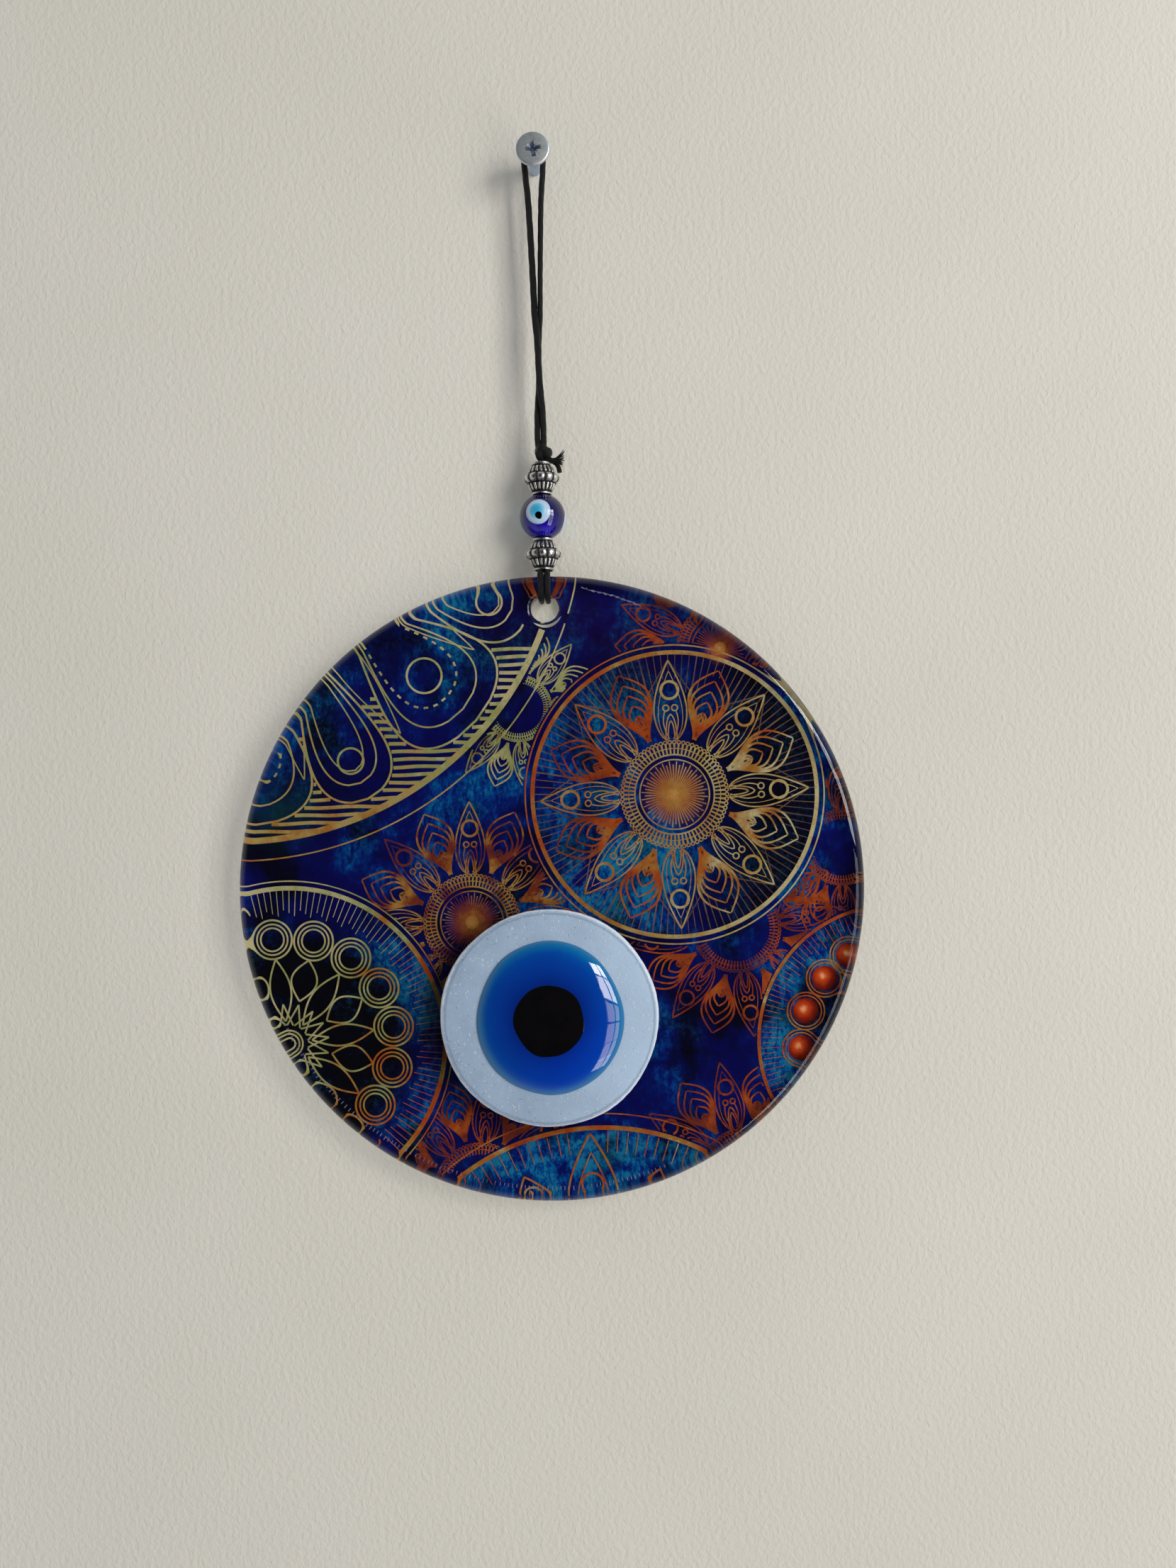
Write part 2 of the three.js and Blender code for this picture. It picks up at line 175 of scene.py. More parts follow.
def ring_faces(rings, count, wrap=False):
    """Quads between consecutive rings of count vertices each."""
    faces = []
    last = rings if wrap else rings - 1
    for i in range(last):
        j = (i + 1) % rings
        for k in range(count):
            m = (k + 1) % count
            faces.append((i * count + k, i * count + m, j * count + m, j * count + k))
    return faces


def capped_rings(rings, count):
    """Quads between rings, and a flat face on the first ring and on the last."""
    last = (rings - 1) * count
    return ring_faces(rings, count) + [tuple(range(count)), tuple(range(last, last + count))]


def path_length(path):
    return sum((path[i + 1] - path[i]).length for i in range(len(path) - 1))


def smooth_path(points, spacing):
    """Points about spacing apart on a smooth curve through the given ones."""
    points = [Vector(p) for p in points]
    padded = [2 * points[0] - points[1], *points, 2 * points[-1] - points[-2]]
    path = []
    for i in range(len(points) - 1):
        p0, p1, p2, p3 = padded[i : i + 4]
        t1 = (p1 - p0).length ** 0.5
        t2 = t1 + (p2 - p1).length ** 0.5
        t3 = t2 + (p3 - p2).length ** 0.5
        steps = max(1, round((p2 - p1).length / spacing))
        for k in range(steps):
            t = t1 + (t2 - t1) * k / steps
            a1 = p0 + (p1 - p0) * (t / t1)
            a2 = p1 + (p2 - p1) * ((t - t1) / (t2 - t1))
            a3 = p2 + (p3 - p2) * ((t - t2) / (t3 - t2))
            b1 = a1 + (a2 - a1) * (t / t2)
            b2 = a2 + (a3 - a2) * ((t - t1) / (t3 - t1))
            path.append(b1 + (b2 - b1) * ((t - t1) / (t2 - t1)))
    path.append(points[-1])
    return path


def frames_along(path, closed=False):
    """Tangent and two turning-free sideways directions at each point of a path."""
    count = len(path)
    tangents = []
    for i in range(count):
        before = path[i - 1] if i or closed else path[0]
        after = path[(i + 1) % count] if i < count - 1 or closed else path[-1]
        tangents.append((after - before).normalized())
    side = tangents[0].orthogonal().normalized()
    frames = []
    for i, tangent in enumerate(tangents):
        if i:
            side = tangents[i - 1].rotation_difference(tangent) @ side
        side = (side - tangent * side.dot(tangent)).normalized()
        frames.append((tangent, side, tangent.cross(side)))
    return frames


def tube(name, path, radius_at, sides, material, closed=False):
    """A cord-like solid. radius_at gets the angle, the distance and the whole length, in mm."""
    vertices, lay, distance = [], [], 0.0
    total = path_length(path)
    for i, (centre, (_, side, up)) in enumerate(zip(path, frames_along(path, closed))):
        distance += (centre - path[i - 1]).length if i else 0.0
        for angle in turn_angles(sides):
            radius = radius_at(angle, distance, total)
            vertices.append(centre + radius * (math.cos(angle) * side + math.sin(angle) * up))
            turn = angle + 2 * math.pi * distance / PLY_PITCH
            lay.append((math.cos(turn), math.sin(turn), distance))
    faces = ring_faces(len(path), sides, wrap=True) if closed else capped_rings(len(path), sides)
    piece = new_mesh(name, vertices, faces, material)
    point_vectors(piece, "lay", lay)
    return piece


def joined(name, parts):
    """One object from several, which all stand at the origin."""
    vertices, faces, lay = [], [], []
    for part in parts:
        offset = len(vertices)
        vertices += [v.co / MM for v in part.data.vertices]
        faces += [[offset + i for i in polygon.vertices] for polygon in part.data.polygons]
        lay += [tuple(v.vector) for v in part.data.attributes["lay"].data]
        material = part.data.materials[0]
        bpy.data.objects.remove(part)
    whole = new_mesh(name, vertices, faces, material)
    point_vectors(whole, "lay", lay)
    return whole


def paint_faces(piece, faces, material):
    """Gives a slice of a piece's faces a further material."""
    piece.data.materials.append(material)
    for polygon in piece.data.polygons[faces]:
        polygon.material_index = len(piece.data.materials) - 1


# ------------------------------------------------------------------ material helper


class Nodes:
    """Short names for building the nodes of a material or of the world."""

    def __init__(self, tree, output):
        self.tree = tree
        self.tree.nodes.clear()
        self.output = self.node(output)

    def node(self, kind, **settings):
        node = self.tree.nodes.new("ShaderNode" + kind)
        for key, value in settings.items():
            setattr(node, key, value)
        return node

    def feed(self, socket, value):
        if isinstance(value, bpy.types.NodeSocket):
            self.tree.links.new(value, socket)
        elif value is not None:
            socket.default_value = value

    def surface(self, node):
        self.feed(self.output.inputs["Surface"], node.outputs[0])

    def math(self, operation, a, b=None, c=None, clamp=False):
        node = self.node("Math", operation=operation, use_clamp=clamp)
        for socket, value in zip(node.inputs, (a, b, c)):
            self.feed(socket, value)
        return node.outputs[0]

    def times(self, a, b, clamp=False):
        return self.math("MULTIPLY", a, b, clamp=clamp)

    def scaled(self, value, factor, offset, clamp=False):
        return self.math("MULTIPLY_ADD", value, factor, offset, clamp)

    def vector(self, operation, a, b=None, c=None):
        node = self.node("VectorMath", operation=operation)
        for socket, value in zip(node.inputs, (a, b, c)):
            self.feed(socket, value)
        return node.outputs["Value" if operation in ("DISTANCE", "LENGTH", "DOT_PRODUCT") else "Vector"]

    def axes(self, vector):
        """The x, y and z of a vector."""
        node = self.node("SeparateXYZ")
        self.feed(node.inputs[0], vector)
        return tuple(node.outputs)

    def noise(self, vector, scale, detail=3.0, roughness=0.5, distortion=0.0):
        node = self.node("TexNoise")
        names = ("Vector", "Scale", "Detail", "Roughness", "Distortion")
        for name, value in zip(names, (vector, scale, detail, roughness, distortion)):
            self.feed(node.inputs[name], value)
        return node.outputs["Fac"]

    def span(self, value, low, high, to_low=0.0, to_high=1.0, smooth=True):
        """Value from low..high brought to to_low..to_high, and held there outside."""
        node = self.node("MapRange", interpolation_type="SMOOTHSTEP" if smooth else "LINEAR")
        for i, number in enumerate((value, low, high, to_low, to_high)):
            self.feed(node.inputs[i], number)
        return node.outputs[0]

    def mix(self, factor, a, b):
        node = self.node("Mix", data_type="RGBA")
        self.feed(node.inputs[0], factor)
        self.feed(node.inputs[6], linear_colour(a))
        self.feed(node.inputs[7], linear_colour(b))
        return node.outputs[2]

    def pick(self, factor, a, b):
        """The number a where factor is 0 and b where it is 1."""
        node = self.node("Mix", data_type="FLOAT")
        for index, value in ((0, factor), (2, a), (3, b)):
            self.feed(node.inputs[index], value)
        return node.outputs[0]

    def ramp(self, factor, stops):
        node = self.node("ValToRGB")
        elements = node.color_ramp.elements
        while len(elements) < len(stops):
            elements.new(0.5)
        for element, (position, colour) in zip(elements, stops):
            element.position = position
            element.color = linear_colour(colour)
        self.feed(node.inputs[0], factor)
        return node.outputs[0]


class Shader(Nodes):
    """One material, with its surface."""

    def __init__(self, name):
        self.material = bpy.data.materials.new(name)
        self.material.use_nodes = True
        super().__init__(self.material.node_tree, "OutputMaterial")

    def place(self):
        """The piece's own coordinates in the frame, in mm."""
        return self.vector("MULTIPLY", self.node("TexCoord").outputs["Object"], (1 / MM,) * 3)

    def attribute(self, name, output="Vector"):
        return self.node("Attribute", attribute_name=name).outputs[output]

    def bump(self, height, distance):
        """distance is in mm."""
        node = self.node("Bump")
        self.feed(node.inputs["Height"], height)
        node.inputs["Distance"].default_value = distance * MM
        node.inputs["Strength"].default_value = 1.0
        return node.outputs["Normal"]

    def principled(self, **sockets):
        node = self.node("BsdfPrincipled")
        for name, value in sockets.items():
            self.feed(node.inputs[name.replace("_", " ")], value)
        self.surface(node)
        return node

    def finished(self, **sockets):
        self.principled(**sockets)
        return self.material

    def shadow_ray(self):
        return self.node("LightPath").outputs["Is Shadow Ray"]

    def clear_where(self, factor, node, amount=1.0):
        """Lets this share of the light through a surface where factor is 1."""
        through = self.node("BsdfTransparent")
        through.inputs[0].default_value = (amount, amount, amount, 1)
        mixed = self.node("MixShader")
        for socket, value in zip(mixed.inputs, (factor, node.outputs[0], through.outputs[0])):
            self.feed(socket, value)
        self.surface(mixed)


def linear_colour(colour):
    """A node's socket as it is, or a colour from 0..255 display values."""
    if isinstance(colour, bpy.types.NodeSocket):
        return colour

    def linear(value):
        value /= 255
        return value / 12.92 if value <= 0.04045 else ((value + 0.055) / 1.055) ** 2.4

    return (*(linear(value) for value in colour), 1.0)


# ------------------------------------------------------------------ cord

# The loop's left strand from the screw down to the knot, as x, y from the hanging plane, and z.
# The right strand is the same route turned by half a turn about the hanging line.
LOOP_STRAND = [
    (-0.00225, 0, -0.0003), (-0.00215, 0, -0.003), (-0.0019, 0, -0.006), (-0.0016, 0, -0.0095),
    (-0.00142, 0, -0.013), (-0.00125, 0, -0.0175), (-0.00108, 0, -0.0225), (-0.00092, 0, -0.0275),
    (-0.0008, 0, -0.032), (-0.00071, 0, -0.036), (-0.00062, -0.00035, -0.0385),
    (-0.0004, -0.0006, -0.041), (-0.0002, -0.0007, -0.044), (-0.00005, -0.00072, -0.048),
    (0.00008, -0.00072, -0.053), (0.0003, -0.00066, -0.0565), (0.00055, -0.00046, -0.0595),
    (0.00069, -0.0002, -0.0625), (0.00072, 0, -0.0655), (0.00072, 0, -0.0684),
]

# One strand's way out of the lowest bead, down the front of the disc, through the top of the
# hole and up behind the disc into the bead again, as y and z.
BIGHT_STRAND = [
    (-0.00675, -0.0983), (-0.00678, -0.099), (-0.007, -0.0995), (-0.0079, -0.0999),
    (-0.00855, -0.1004), (-0.00907, -0.101), (-0.00947, -0.1017), (-0.00972, -0.1025),
    (-0.0098, -0.1033), (-0.0098, -0.10415), (-0.00969, -0.10481), (-0.00939, -0.10541),
    (-0.00891, -0.10589), (-0.00831, -0.10619), (-0.00765, -0.1063), (-0.00575, -0.10633),
    (-0.00385, -0.1063), (-0.00319, -0.10619), (-0.00259, -0.10589), (-0.00211, -0.10541),
    (-0.00181, -0.10481), (-0.0017, -0.10415), (-0.00171, -0.1033), (-0.0018, -0.1026),
    (-0.002, -0.10195), (-0.00228, -0.10135), (-0.00262, -0.10085), (-0.00303, -0.1004),
    (-0.0035, -0.10008), (-0.00399, -0.09992), (-0.0047, -0.0996), (-0.0051, -0.09925),
    (-0.00522, -0.0989), (-0.00525, -0.0983),
]

# The two ends of the cord beyond the knot, as x, y from the hanging plane, and z.
FRAYED_TAIL = [(0.00315, -0.0009, -0.0722), (0.0039, -0.0012, -0.0721), (0.0048, -0.0015, -0.0717),
               (0.0057, -0.0018, -0.0713)]
SHORT_TAIL = [(0.0029, -0.0002, -0.0731), (0.0037, -0.0001, -0.0737), (0.0042, 0, -0.0747),
              (0.0044, 0, -0.0757)]

PATH_STEP = 0.45
LOOP_RADIUS = 0.74          # the loop's cord, over its plies
BIGHT_RADIUS = 0.8          # the cord pressed flat on the glass


def cord_points(points):
    """Route points, given from the hanging plane in metres, as places in mm."""
    return [Vector((x / MM, HANG_Y + y / MM, z / MM)) for x, y, z in points]


def ply_radius(radius, flat=0.0):
    """Three plies and finer strands that wind round a cord that is a little flattened."""
    def at(angle, distance, total):
        turn = angle + 2 * math.pi * distance / PLY_PITCH
        squeeze = 1 + flat * math.cos(2 * angle + 2 * math.pi * distance / total)
        ply = abs(math.cos(1.5 * turn)) ** 0.7
        strand = abs(math.cos(5 * turn + 0.6 * math.sin(distance * 1.1)))
        swell = noise.noise((distance * 0.35, radius, 0.0))
        return radius * squeeze * (0.84 + 0.1 * ply + 0.05 * strand + 0.03 * swell)
    return at


def cord_material():
    shader = Shader("waxed_cotton_cord")
    lay = shader.attribute("lay")
    fibre = shader.noise(shader.vector("MULTIPLY", lay, (1.0, 1.0, 0.055)), 7.0, 4.0, 0.65)
    fuzz = shader.noise(shader.vector("MULTIPLY", lay, (1.0, 1.0, 0.5)), 12.0, 3.0, 0.6)
    height = shader.scaled(fuzz, 0.25, fibre)
    colour = shader.ramp(fibre, [(0.3, (5, 5, 6)), (0.55, (11, 11, 12)), (0.8, (25, 24, 25))])
    wax = shader.span(shader.noise(shader.place(), 0.5, 2.0), 0.35, 0.65, 0.42, 0.62)
    return shader.finished(
        Base_Color=colour,
        Roughness=wax,
        Specular_IOR_Level=0.3,
        Sheen_Weight=0.02,
        Sheen_Roughness=0.4,
        Normal=shader.bump(height, 0.3),
    )


def finish_cord(piece, nodes):
    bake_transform(piece)
    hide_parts(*nodes)


def make_loop(material):
    """The whole loop as one cord: up from the knot, over the screw and down to the knot."""
    left = cord_points(LOOP_STRAND)
    right = cord_points([(-x, -y, z) for x, y, z in LOOP_STRAND])
    crown = []
    for angle in (math.pi * (1 - i / 8) for i in range(1, 8)):
        crown.append(Vector((CROWN_RADIUS * math.cos(angle), HANG_Y, CROWN_RADIUS * math.sin(angle))))
    ends = [Vector((side * 0.3, 0, -2.2)) for side in (-1, 1)]
    path = smooth_path([left[-1] + ends[0], *reversed(left), *crown, *right, right[-1] + ends[1]], PATH_STEP)
    loop = tube("cord_loop", path, ply_radius(LOOP_RADIUS, 0.12), 30, material)
    nodes = ("loop_crown", "loop_strand_left", "loop_strand_right")
    finish_cord(loop, nodes)


def make_knot(material):
    """An overhand knot pulled tight: one thick turning cord, with its lobes towards the viewer."""
    low, high = node_box("cord_knot")
    centre = (low + high) / 2
    half = (high - low) / 2
    cord_radius = 1.22
    reach = Vector((half.x - cord_radius, half.y - cord_radius, half.z - cord_radius))
    tilt = math.radians(-22)
    path = []
    for t in turn_angles(150):
        across = (math.sin(t) + 2 * math.sin(2 * t)) / 2.9
        along = (math.cos(t) - 2 * math.cos(2 * t)) / 2.9
        path.append(centre + Vector((
            reach.x * (across * math.cos(tilt) - along * math.sin(tilt)),
            -reach.y * math.sin(3 * t),
            reach.z * (across * math.sin(tilt) + along * math.cos(tilt)),
        )))
    knot = tube("cord_knot_turns", path, ply_radius(cord_radius), 28, material, closed=True)
    return place(knot, "hanger", ["cord_knot"])


def fray_fibres(root, heading, material, count, reach):
    """Loose fibres that fan out from the end of the cord."""
    rng = random.Random(7)
    fibres = []
    for i in range(count):
        fan = (i / (count - 1) - 0.5) * 2
        length = reach * rng.uniform(0.65, 1.0)
        sideways = Vector((0, rng.uniform(-0.35, 0.35), 1.0)).normalized()
        bend = rng.uniform(-0.25, 0.25)
        points = []
        for k in range(5):
            share = k / 4
            lean = fan * (0.2 * share + 0.52 * share * share) + bend * share * (1 - share)
            start = root + Vector((0, fan * 0.15, fan * 0.28))
            points.append(start + heading * (length * share) + sideways * (length * lean))
        path = smooth_path(points, 0.12)
        fibres.append(tube(f"fibre_{i}", path, lambda a, d, t: 0.17 * (1.2 - 0.8 * d / t), 7, material))
    return fibres


def make_tails(material):
    frayed = cord_points(FRAYED_TAIL)
    root = frayed[0] + Vector((-0.3, 0, -0.85))
    heading = Vector((1.0, -0.3, 0.06)).normalized()
    stub = smooth_path([root + Vector((-1.5, 0.3, 0.3)), root, root + heading * 0.7], 0.15)
    parts = [tube("stub", stub, ply_radius(0.62), 18, material)]
    parts += fray_fibres(root + heading * 0.2, heading, material, 24, 2.9)
    loose = place(joined("cord_end_frayed", parts), "hanger", ["cord_tail_frayed"])

    short = cord_points(SHORT_TAIL)
    path = smooth_path([short[0] + Vector((-1.2, 0, 0.9)), *short], 0.2)
    blunt = tube("cord_end_short", path, ply_radius(0.62), 18, material)
    return [loose, place(blunt, "hanger", ["cord_tail_short"])]


def bight_radius(angle, done, total):
    """A strand, pressed thinner where it bends round the glass and goes up behind it."""
    share = max(0.0, 1 - max(0.0, total / 2 - done) / 3.4)
    return ply_radius(BIGHT_RADIUS)(angle, done, total) * (1 - 0.17 * min(1.0, 2 * share))


def make_bights(material):
    """Two strands, each from the knot down through the beads, round the glass and back up."""
    top = node_box("cord_bundle")[1].z + 0.3

    def inside_beads(foot):
        """Points from the knot straight down to the one given."""
        return [Vector((foot.x, foot.y, top + (foot.z - top) * i / 8)) for i in range(8)]

    for name, side in (("left", -1), ("right", 1)):
        bight = [Vector((side * PAIR_OFFSET, y / MM, z / MM)) for y, z in BIGHT_STRAND]
        route = [*inside_beads(bight[0]), *bight, *reversed(inside_beads(bight[-1]))]
        path = smooth_path(route, PATH_STEP * 0.8)
        strand = tube("cord_" + name, path, bight_radius, 26, material)
        nodes = ("cord_bight_" + name, "cord_bundle")
        finish_cord(strand, nodes)


# ------------------------------------------------------------------ beads


def silver_material():
    shader = Shader("antique_silver")
    place_mm = shader.place()
    recess = shader.attribute("relief", "Fac")
    grime = shader.noise(place_mm, 1.6, 5.0, 0.6)
    worn = shader.math("ADD", recess, shader.scaled(grime, 0.7, -0.35), clamp=True)
    colour = shader.ramp(worn, [
        (0.12, (14, 13, 14)),
        (0.36, (74, 72, 70)),
        (0.58, (176, 174, 170)),
        (0.9, (226, 225, 221)),
    ])
    casting = shader.noise(place_mm, 5.0, 4.0, 0.6)
    return shader.finished(
        Base_Color=colour,
        Metallic=shader.span(worn, 0.1, 0.45, 0.35, 1.0),
        Roughness=shader.span(worn, 0.1, 0.9, 0.6, 0.24),
        Normal=shader.bump(casting, 0.05),
    )


SPACER_RIBS = 18
BELT_LOBES = 12
SPACER_PROFILE = [          # radius and height above the middle, from the top collar to the belt
    (2.18, 3.85), (2.36, 3.82), (2.46, 3.72), (2.48, 3.58), (2.42, 3.44), (2.28, 3.34), (2.24, 3.24),
    (2.34, 3.1), (2.58, 2.92), (2.8, 2.66), (2.98, 2.36), (3.14, 2.02), (3.28, 1.66), (3.42, 1.3),
    (3.44, 1.2), (3.42, 1.12), (3.44, 1.04), (3.56, 0.98), (3.82, 0.88), (4.06, 0.72), (4.22, 0.52),
    (4.32, 0.28), (4.35, 0.0),
]
RIB_TOP = 3.05              # heights from the middle
RIB_FOOT = 1.16
COLLAR_FOOT = 3.33
BELT_TOP = 1.0
BELT_FOOT_RADIUS = 3.5
RELIEF_DEPTH = 0.3
FLAT_RELIEF = 0.08


def on_ribs(height):
    return RIB_FOOT < abs(height) < RIB_TOP


def on_belt(radius, height):
    return radius > BELT_FOOT_RADIUS and abs(height) < BELT_TOP


def spacer_relief(radius, height, angle, seed):
    """How far up the relief a point of the spacer stands, from 0 in the grooves to 1."""
    level = abs(height)
    if on_belt(radius, height):
        lobe = 0.5 + 0.5 * math.cos(BELT_LOBES * angle)
        return FLAT_RELIEF + (1 - FLAT_RELIEF) * lobe ** 0.5
    if on_ribs(height):
        share = (level - RIB_FOOT) / (RIB_TOP - RIB_FOOT)
        wander = 0.25 * noise.noise((math.cos(angle) * 3, math.sin(angle) * 3, seed + height))
        rib = 0.5 + 0.5 * math.cos(SPACER_RIBS * angle + (math.pi if height < 0 else 0) + wander)
        ends = min(1.0, 6 * share, 7 * (1 - share))
        return max(0.0, min(1.0, (rib - 0.22) * 2.1)) ** 0.7 * ends
    return 0.9 if level >= COLLAR_FOOT else FLAT_RELIEF


def make_spacer(name, node, body, material, seed):
    low, high = node_box(node)
    middle = (low.z + high.z) / 2
    scale = (high.z - low.z) / 2 / SPACER_PROFILE[0][1]
    outline = smooth_path([(r, h, 0) for r, h in SPACER_PROFILE], 0.1)
    outline = [(p.x, p.y) for p in outline]
    outline += [(r, -h) for r, h in reversed(outline[:-1])]
    bore = [(BORE_RADIUS, -3.4), (BORE_RADIUS, 3.4)]
    around = 216
    vertices, relief = [], []
    for r, h in outline + bore:
        sink = RELIEF_DEPTH if on_ribs(h) or on_belt(r, h) else 0.0
        for angle in turn_angles(around):
            lift = spacer_relief(r, h, angle, seed) if r > BORE_RADIUS else 0.0
            dent = 0.04 * noise.noise((math.cos(angle) * r, math.sin(angle) * r, h + seed))
            radius = r - sink * (1 - lift) + (dent if r > BORE_RADIUS else 0)
            vertices.append((radius * math.sin(angle), HANG_Y - radius * math.cos(angle), middle + h * scale))
            relief.append(lift)
    piece = new_mesh(name, vertices, ring_faces(len(outline) + len(bore), around, wrap=True), material)
    point_values(piece, "relief", relief)
    place(piece, body, [node])


def cobalt_material(middle):
    """Deep blue glass, with painted light low inside the ball where light would gather."""
    shader = Shader("cobalt_bead_glass")
    place_mm = shader.place()
    # Painted light: the blue turns lighter round a spot low and in front inside the ball, broken up by
    # streaks.
    to_painted_glow = shader.vector("DISTANCE", place_mm, (middle.x - 0.6, middle.y - 4.2, middle.z - 3.4))
    painted_glow = shader.span(to_painted_glow, 1.0, 6.4, 1.0, 0.0)
    streak = shader.noise(shader.vector("MULTIPLY", place_mm, (0.5, 0.5, 0.16)), 1.2, 2.0)
    depth = shader.times(painted_glow, shader.span(streak, 0.25, 0.75, 0.5, 1.2), clamp=True)
    colour = shader.ramp(depth, [(0.0, (9, 4, 66)), (0.5, (18, 4, 124)), (1.0, (34, 12, 178))])
    pits = shader.noise(place_mm, 0.9, 2.0)
    return shader.finished(
        Base_Color=colour,
        Roughness=0.03,
        IOR=1.5,
        Coat_Weight=0.35,
        Coat_Roughness=0.01,
        Normal=shader.bump(pits, 0.02),
    )


def dot_glass(name, centre, heading, colours, reach):
    """Opaque glass whose colour changes softly from the middle of a dot to its edge."""
    shader = Shader(name)
    place_mm = shader.place()
    wave = shader.scaled(shader.noise(place_mm, 0.8, 2.0), 0.5, -0.25)
    away = shader.math("ADD", shader.vector("DISTANCE", place_mm, tuple(centre + heading)), wave)
    colour = shader.ramp(shader.span(away, 0.0, reach, smooth=False), colours)
    return shader.finished(
        Base_Color=colour,
        Roughness=0.09,
        IOR=1.5,
        Subsurface_Weight=0.06,
        Subsurface_Scale=0.001,
        Normal=shader.bump(shader.noise(place_mm, 1.4, 2.0), 0.02),
    )


def cap(name, centre, heading, base, size, material, seed):
    """A thin lens of glass melted on to a ball; size is its height, its spread in degrees and its wobble."""
    height, spread, wobble = size
    side = heading.orthogonal().normalized()
    up = heading.cross(side)
    around, rings = 64, 12
    vertices = []
    for i in range(rings + 1):
        share = i / rings
        radius = base + height * (1 - share ** 5) ** 0.5
        for angle in turn_angles(around):
            edge = spread * (1 + wobble * noise.noise((math.cos(angle) * 1.3, math.sin(angle) * 1.3, seed)))
            lean = math.radians(edge * max(share, 0.001))
            sideways = side * math.cos(angle) + up * math.sin(angle)
            vertices.append(centre + (heading * math.cos(lean) + sideways * math.sin(lean)) * radius)
    for k in range(around):
        vertices.append(centre + (vertices[rings * around + k] - centre) * (1 - 0.12 / base))
    return new_mesh(name, vertices, capped_rings(rings + 2, around), material)


def bead_heading(eye, heading_offset=0.0, lift_offset=0.0):
    heading = math.radians(BEAD_EYE_HEADING + heading_offset + 360 * eye / BEAD_EYES)
    lift = math.radians(BEAD_EYE_LIFTS[eye] + lift_offset)
    return Vector((math.sin(heading) * math.cos(lift), -math.cos(heading) * math.cos(lift), math.sin(lift)))


# The melted dots' colours outwards from their core, the core's shift, and how far the colours reach.
WHITE_DOT = ([(0.0, (160, 196, 216)), (0.7, (178, 206, 226)), (1.0, (176, 190, 224))], (0, 0, 0), 3.3)
BLUE_DOT = (
    [(0.0, (52, 160, 200)), (0.45, (72, 172, 212)), (0.8, (134, 196, 224)), (1.0, (168, 204, 226))],
    (-0.35, 0, 0.3), 2.3,
)
BLACK_DOT = ([(0.0, (3, 4, 14)), (1.0, (2, 3, 8))], (0, 0, 0), 1.2)


def make_eye_bead():
    low, high = node_box("eye_bead")
    middle = (low + high) / 2
    radius = (high.x - low.x) / 2
    half = (high.z - low.z) / 2
    rings = []
    limit = math.asin(half / radius)
    for i in range(49):
        lean = -limit + 2 * limit * i / 48
        rings.append((radius * math.cos(lean), radius * math.sin(lean)))
    rings += [(BORE_RADIUS, half - 0.35), (BORE_RADIUS, -half + 0.35)]
    around = 96
    vertices = []
    for r, h in rings:
        for angle in turn_angles(around):
            swell = 1 + 0.008 * noise.noise((math.sin(angle), math.cos(angle), h * 0.3)) * (r > 2.2)
            vertices.append((r * swell * math.sin(angle), HANG_Y - r * swell * math.cos(angle), middle.z + h))
    ball = new_mesh("bead_ball", vertices, ring_faces(len(rings), around, wrap=True), cobalt_material(middle))
    place(ball, "middle_bead", ["eye_bead"])

    for eye in range(BEAD_EYES):
        number = f"_{eye + 1}"
        out = bead_heading(eye)
        pupil = bead_heading(eye, *BEAD_PUPIL_SHIFT)
        for name, node, slot, heading, size, (colours, shift, reach) in (
            ("white", "bead_eye_white", "white_glass", out, (0.14, 33.0, 0.03), WHITE_DOT),
            ("blue", "bead_eye_blue", "turquoise_glass", out, (0.2, 22.5, 0.06), BLUE_DOT),
            ("pupil", "bead_pupil", "black_glass", pupil, (0.24, 10.3, 0.16), BLACK_DOT),
        ):
            core = out * radius + Vector(shift)
            glass = dot_glass("bead_" + name + number, middle, core, colours, reach)
            dot = cap("bead_dot_" + name + number, middle, heading, radius, size, glass, eye * 9.0)
            place(dot, "middle_bead", [node + number])


# ------------------------------------------------------------------ screw

SCREW_STEPS = 96
SHANK_RADIUS = 1.3
THREAD_START = -1.2
THREAD_PITCH = 2.7
THREAD_DEPTH = 0.7
RECESS_CUTS = [             # turn in degrees, length, width and depth of each cut in the head
    (8, 4.7, 1.05, 1.9), (98, 4.7, 1.05, 1.9), (53, 4.0, 0.42, 0.6), (143, 4.0, 0.42, 0.6),
]


def zinc_material():
    """Bright zinc, with a painted bluish reflection deep in the cross recess."""
    shader = Shader("zinc_plate")
    place_mm = shader.place()
    scratches = shader.noise(shader.vector("MULTIPLY", place_mm, (0.5, 1.0, 3.0)), 3.0, 4.0, 0.7)
    film = shader.noise(place_mm, 0.5, 3.0)
    colour = shader.ramp(film, [(0.3, (196, 202, 206)), (0.5, (210, 214, 214)), (0.72, (186, 202, 220))])
    _, depth, _ = shader.axes(place_mm)
    # Painted reflection: the base colour turns bluer deep in the cross recess.
    painted_recess_reflection = shader.span(depth, -10.4, -9.6)
    return shader.finished(
        Base_Color=shader.mix(shader.times(painted_recess_reflection, 0.5), colour, (126, 156, 200)),
        Metallic=0.9,
        Roughness=shader.span(scratches, 0.3, 0.75, 0.42, 0.6),
        Normal=shader.bump(scratches, 0.02),
    )


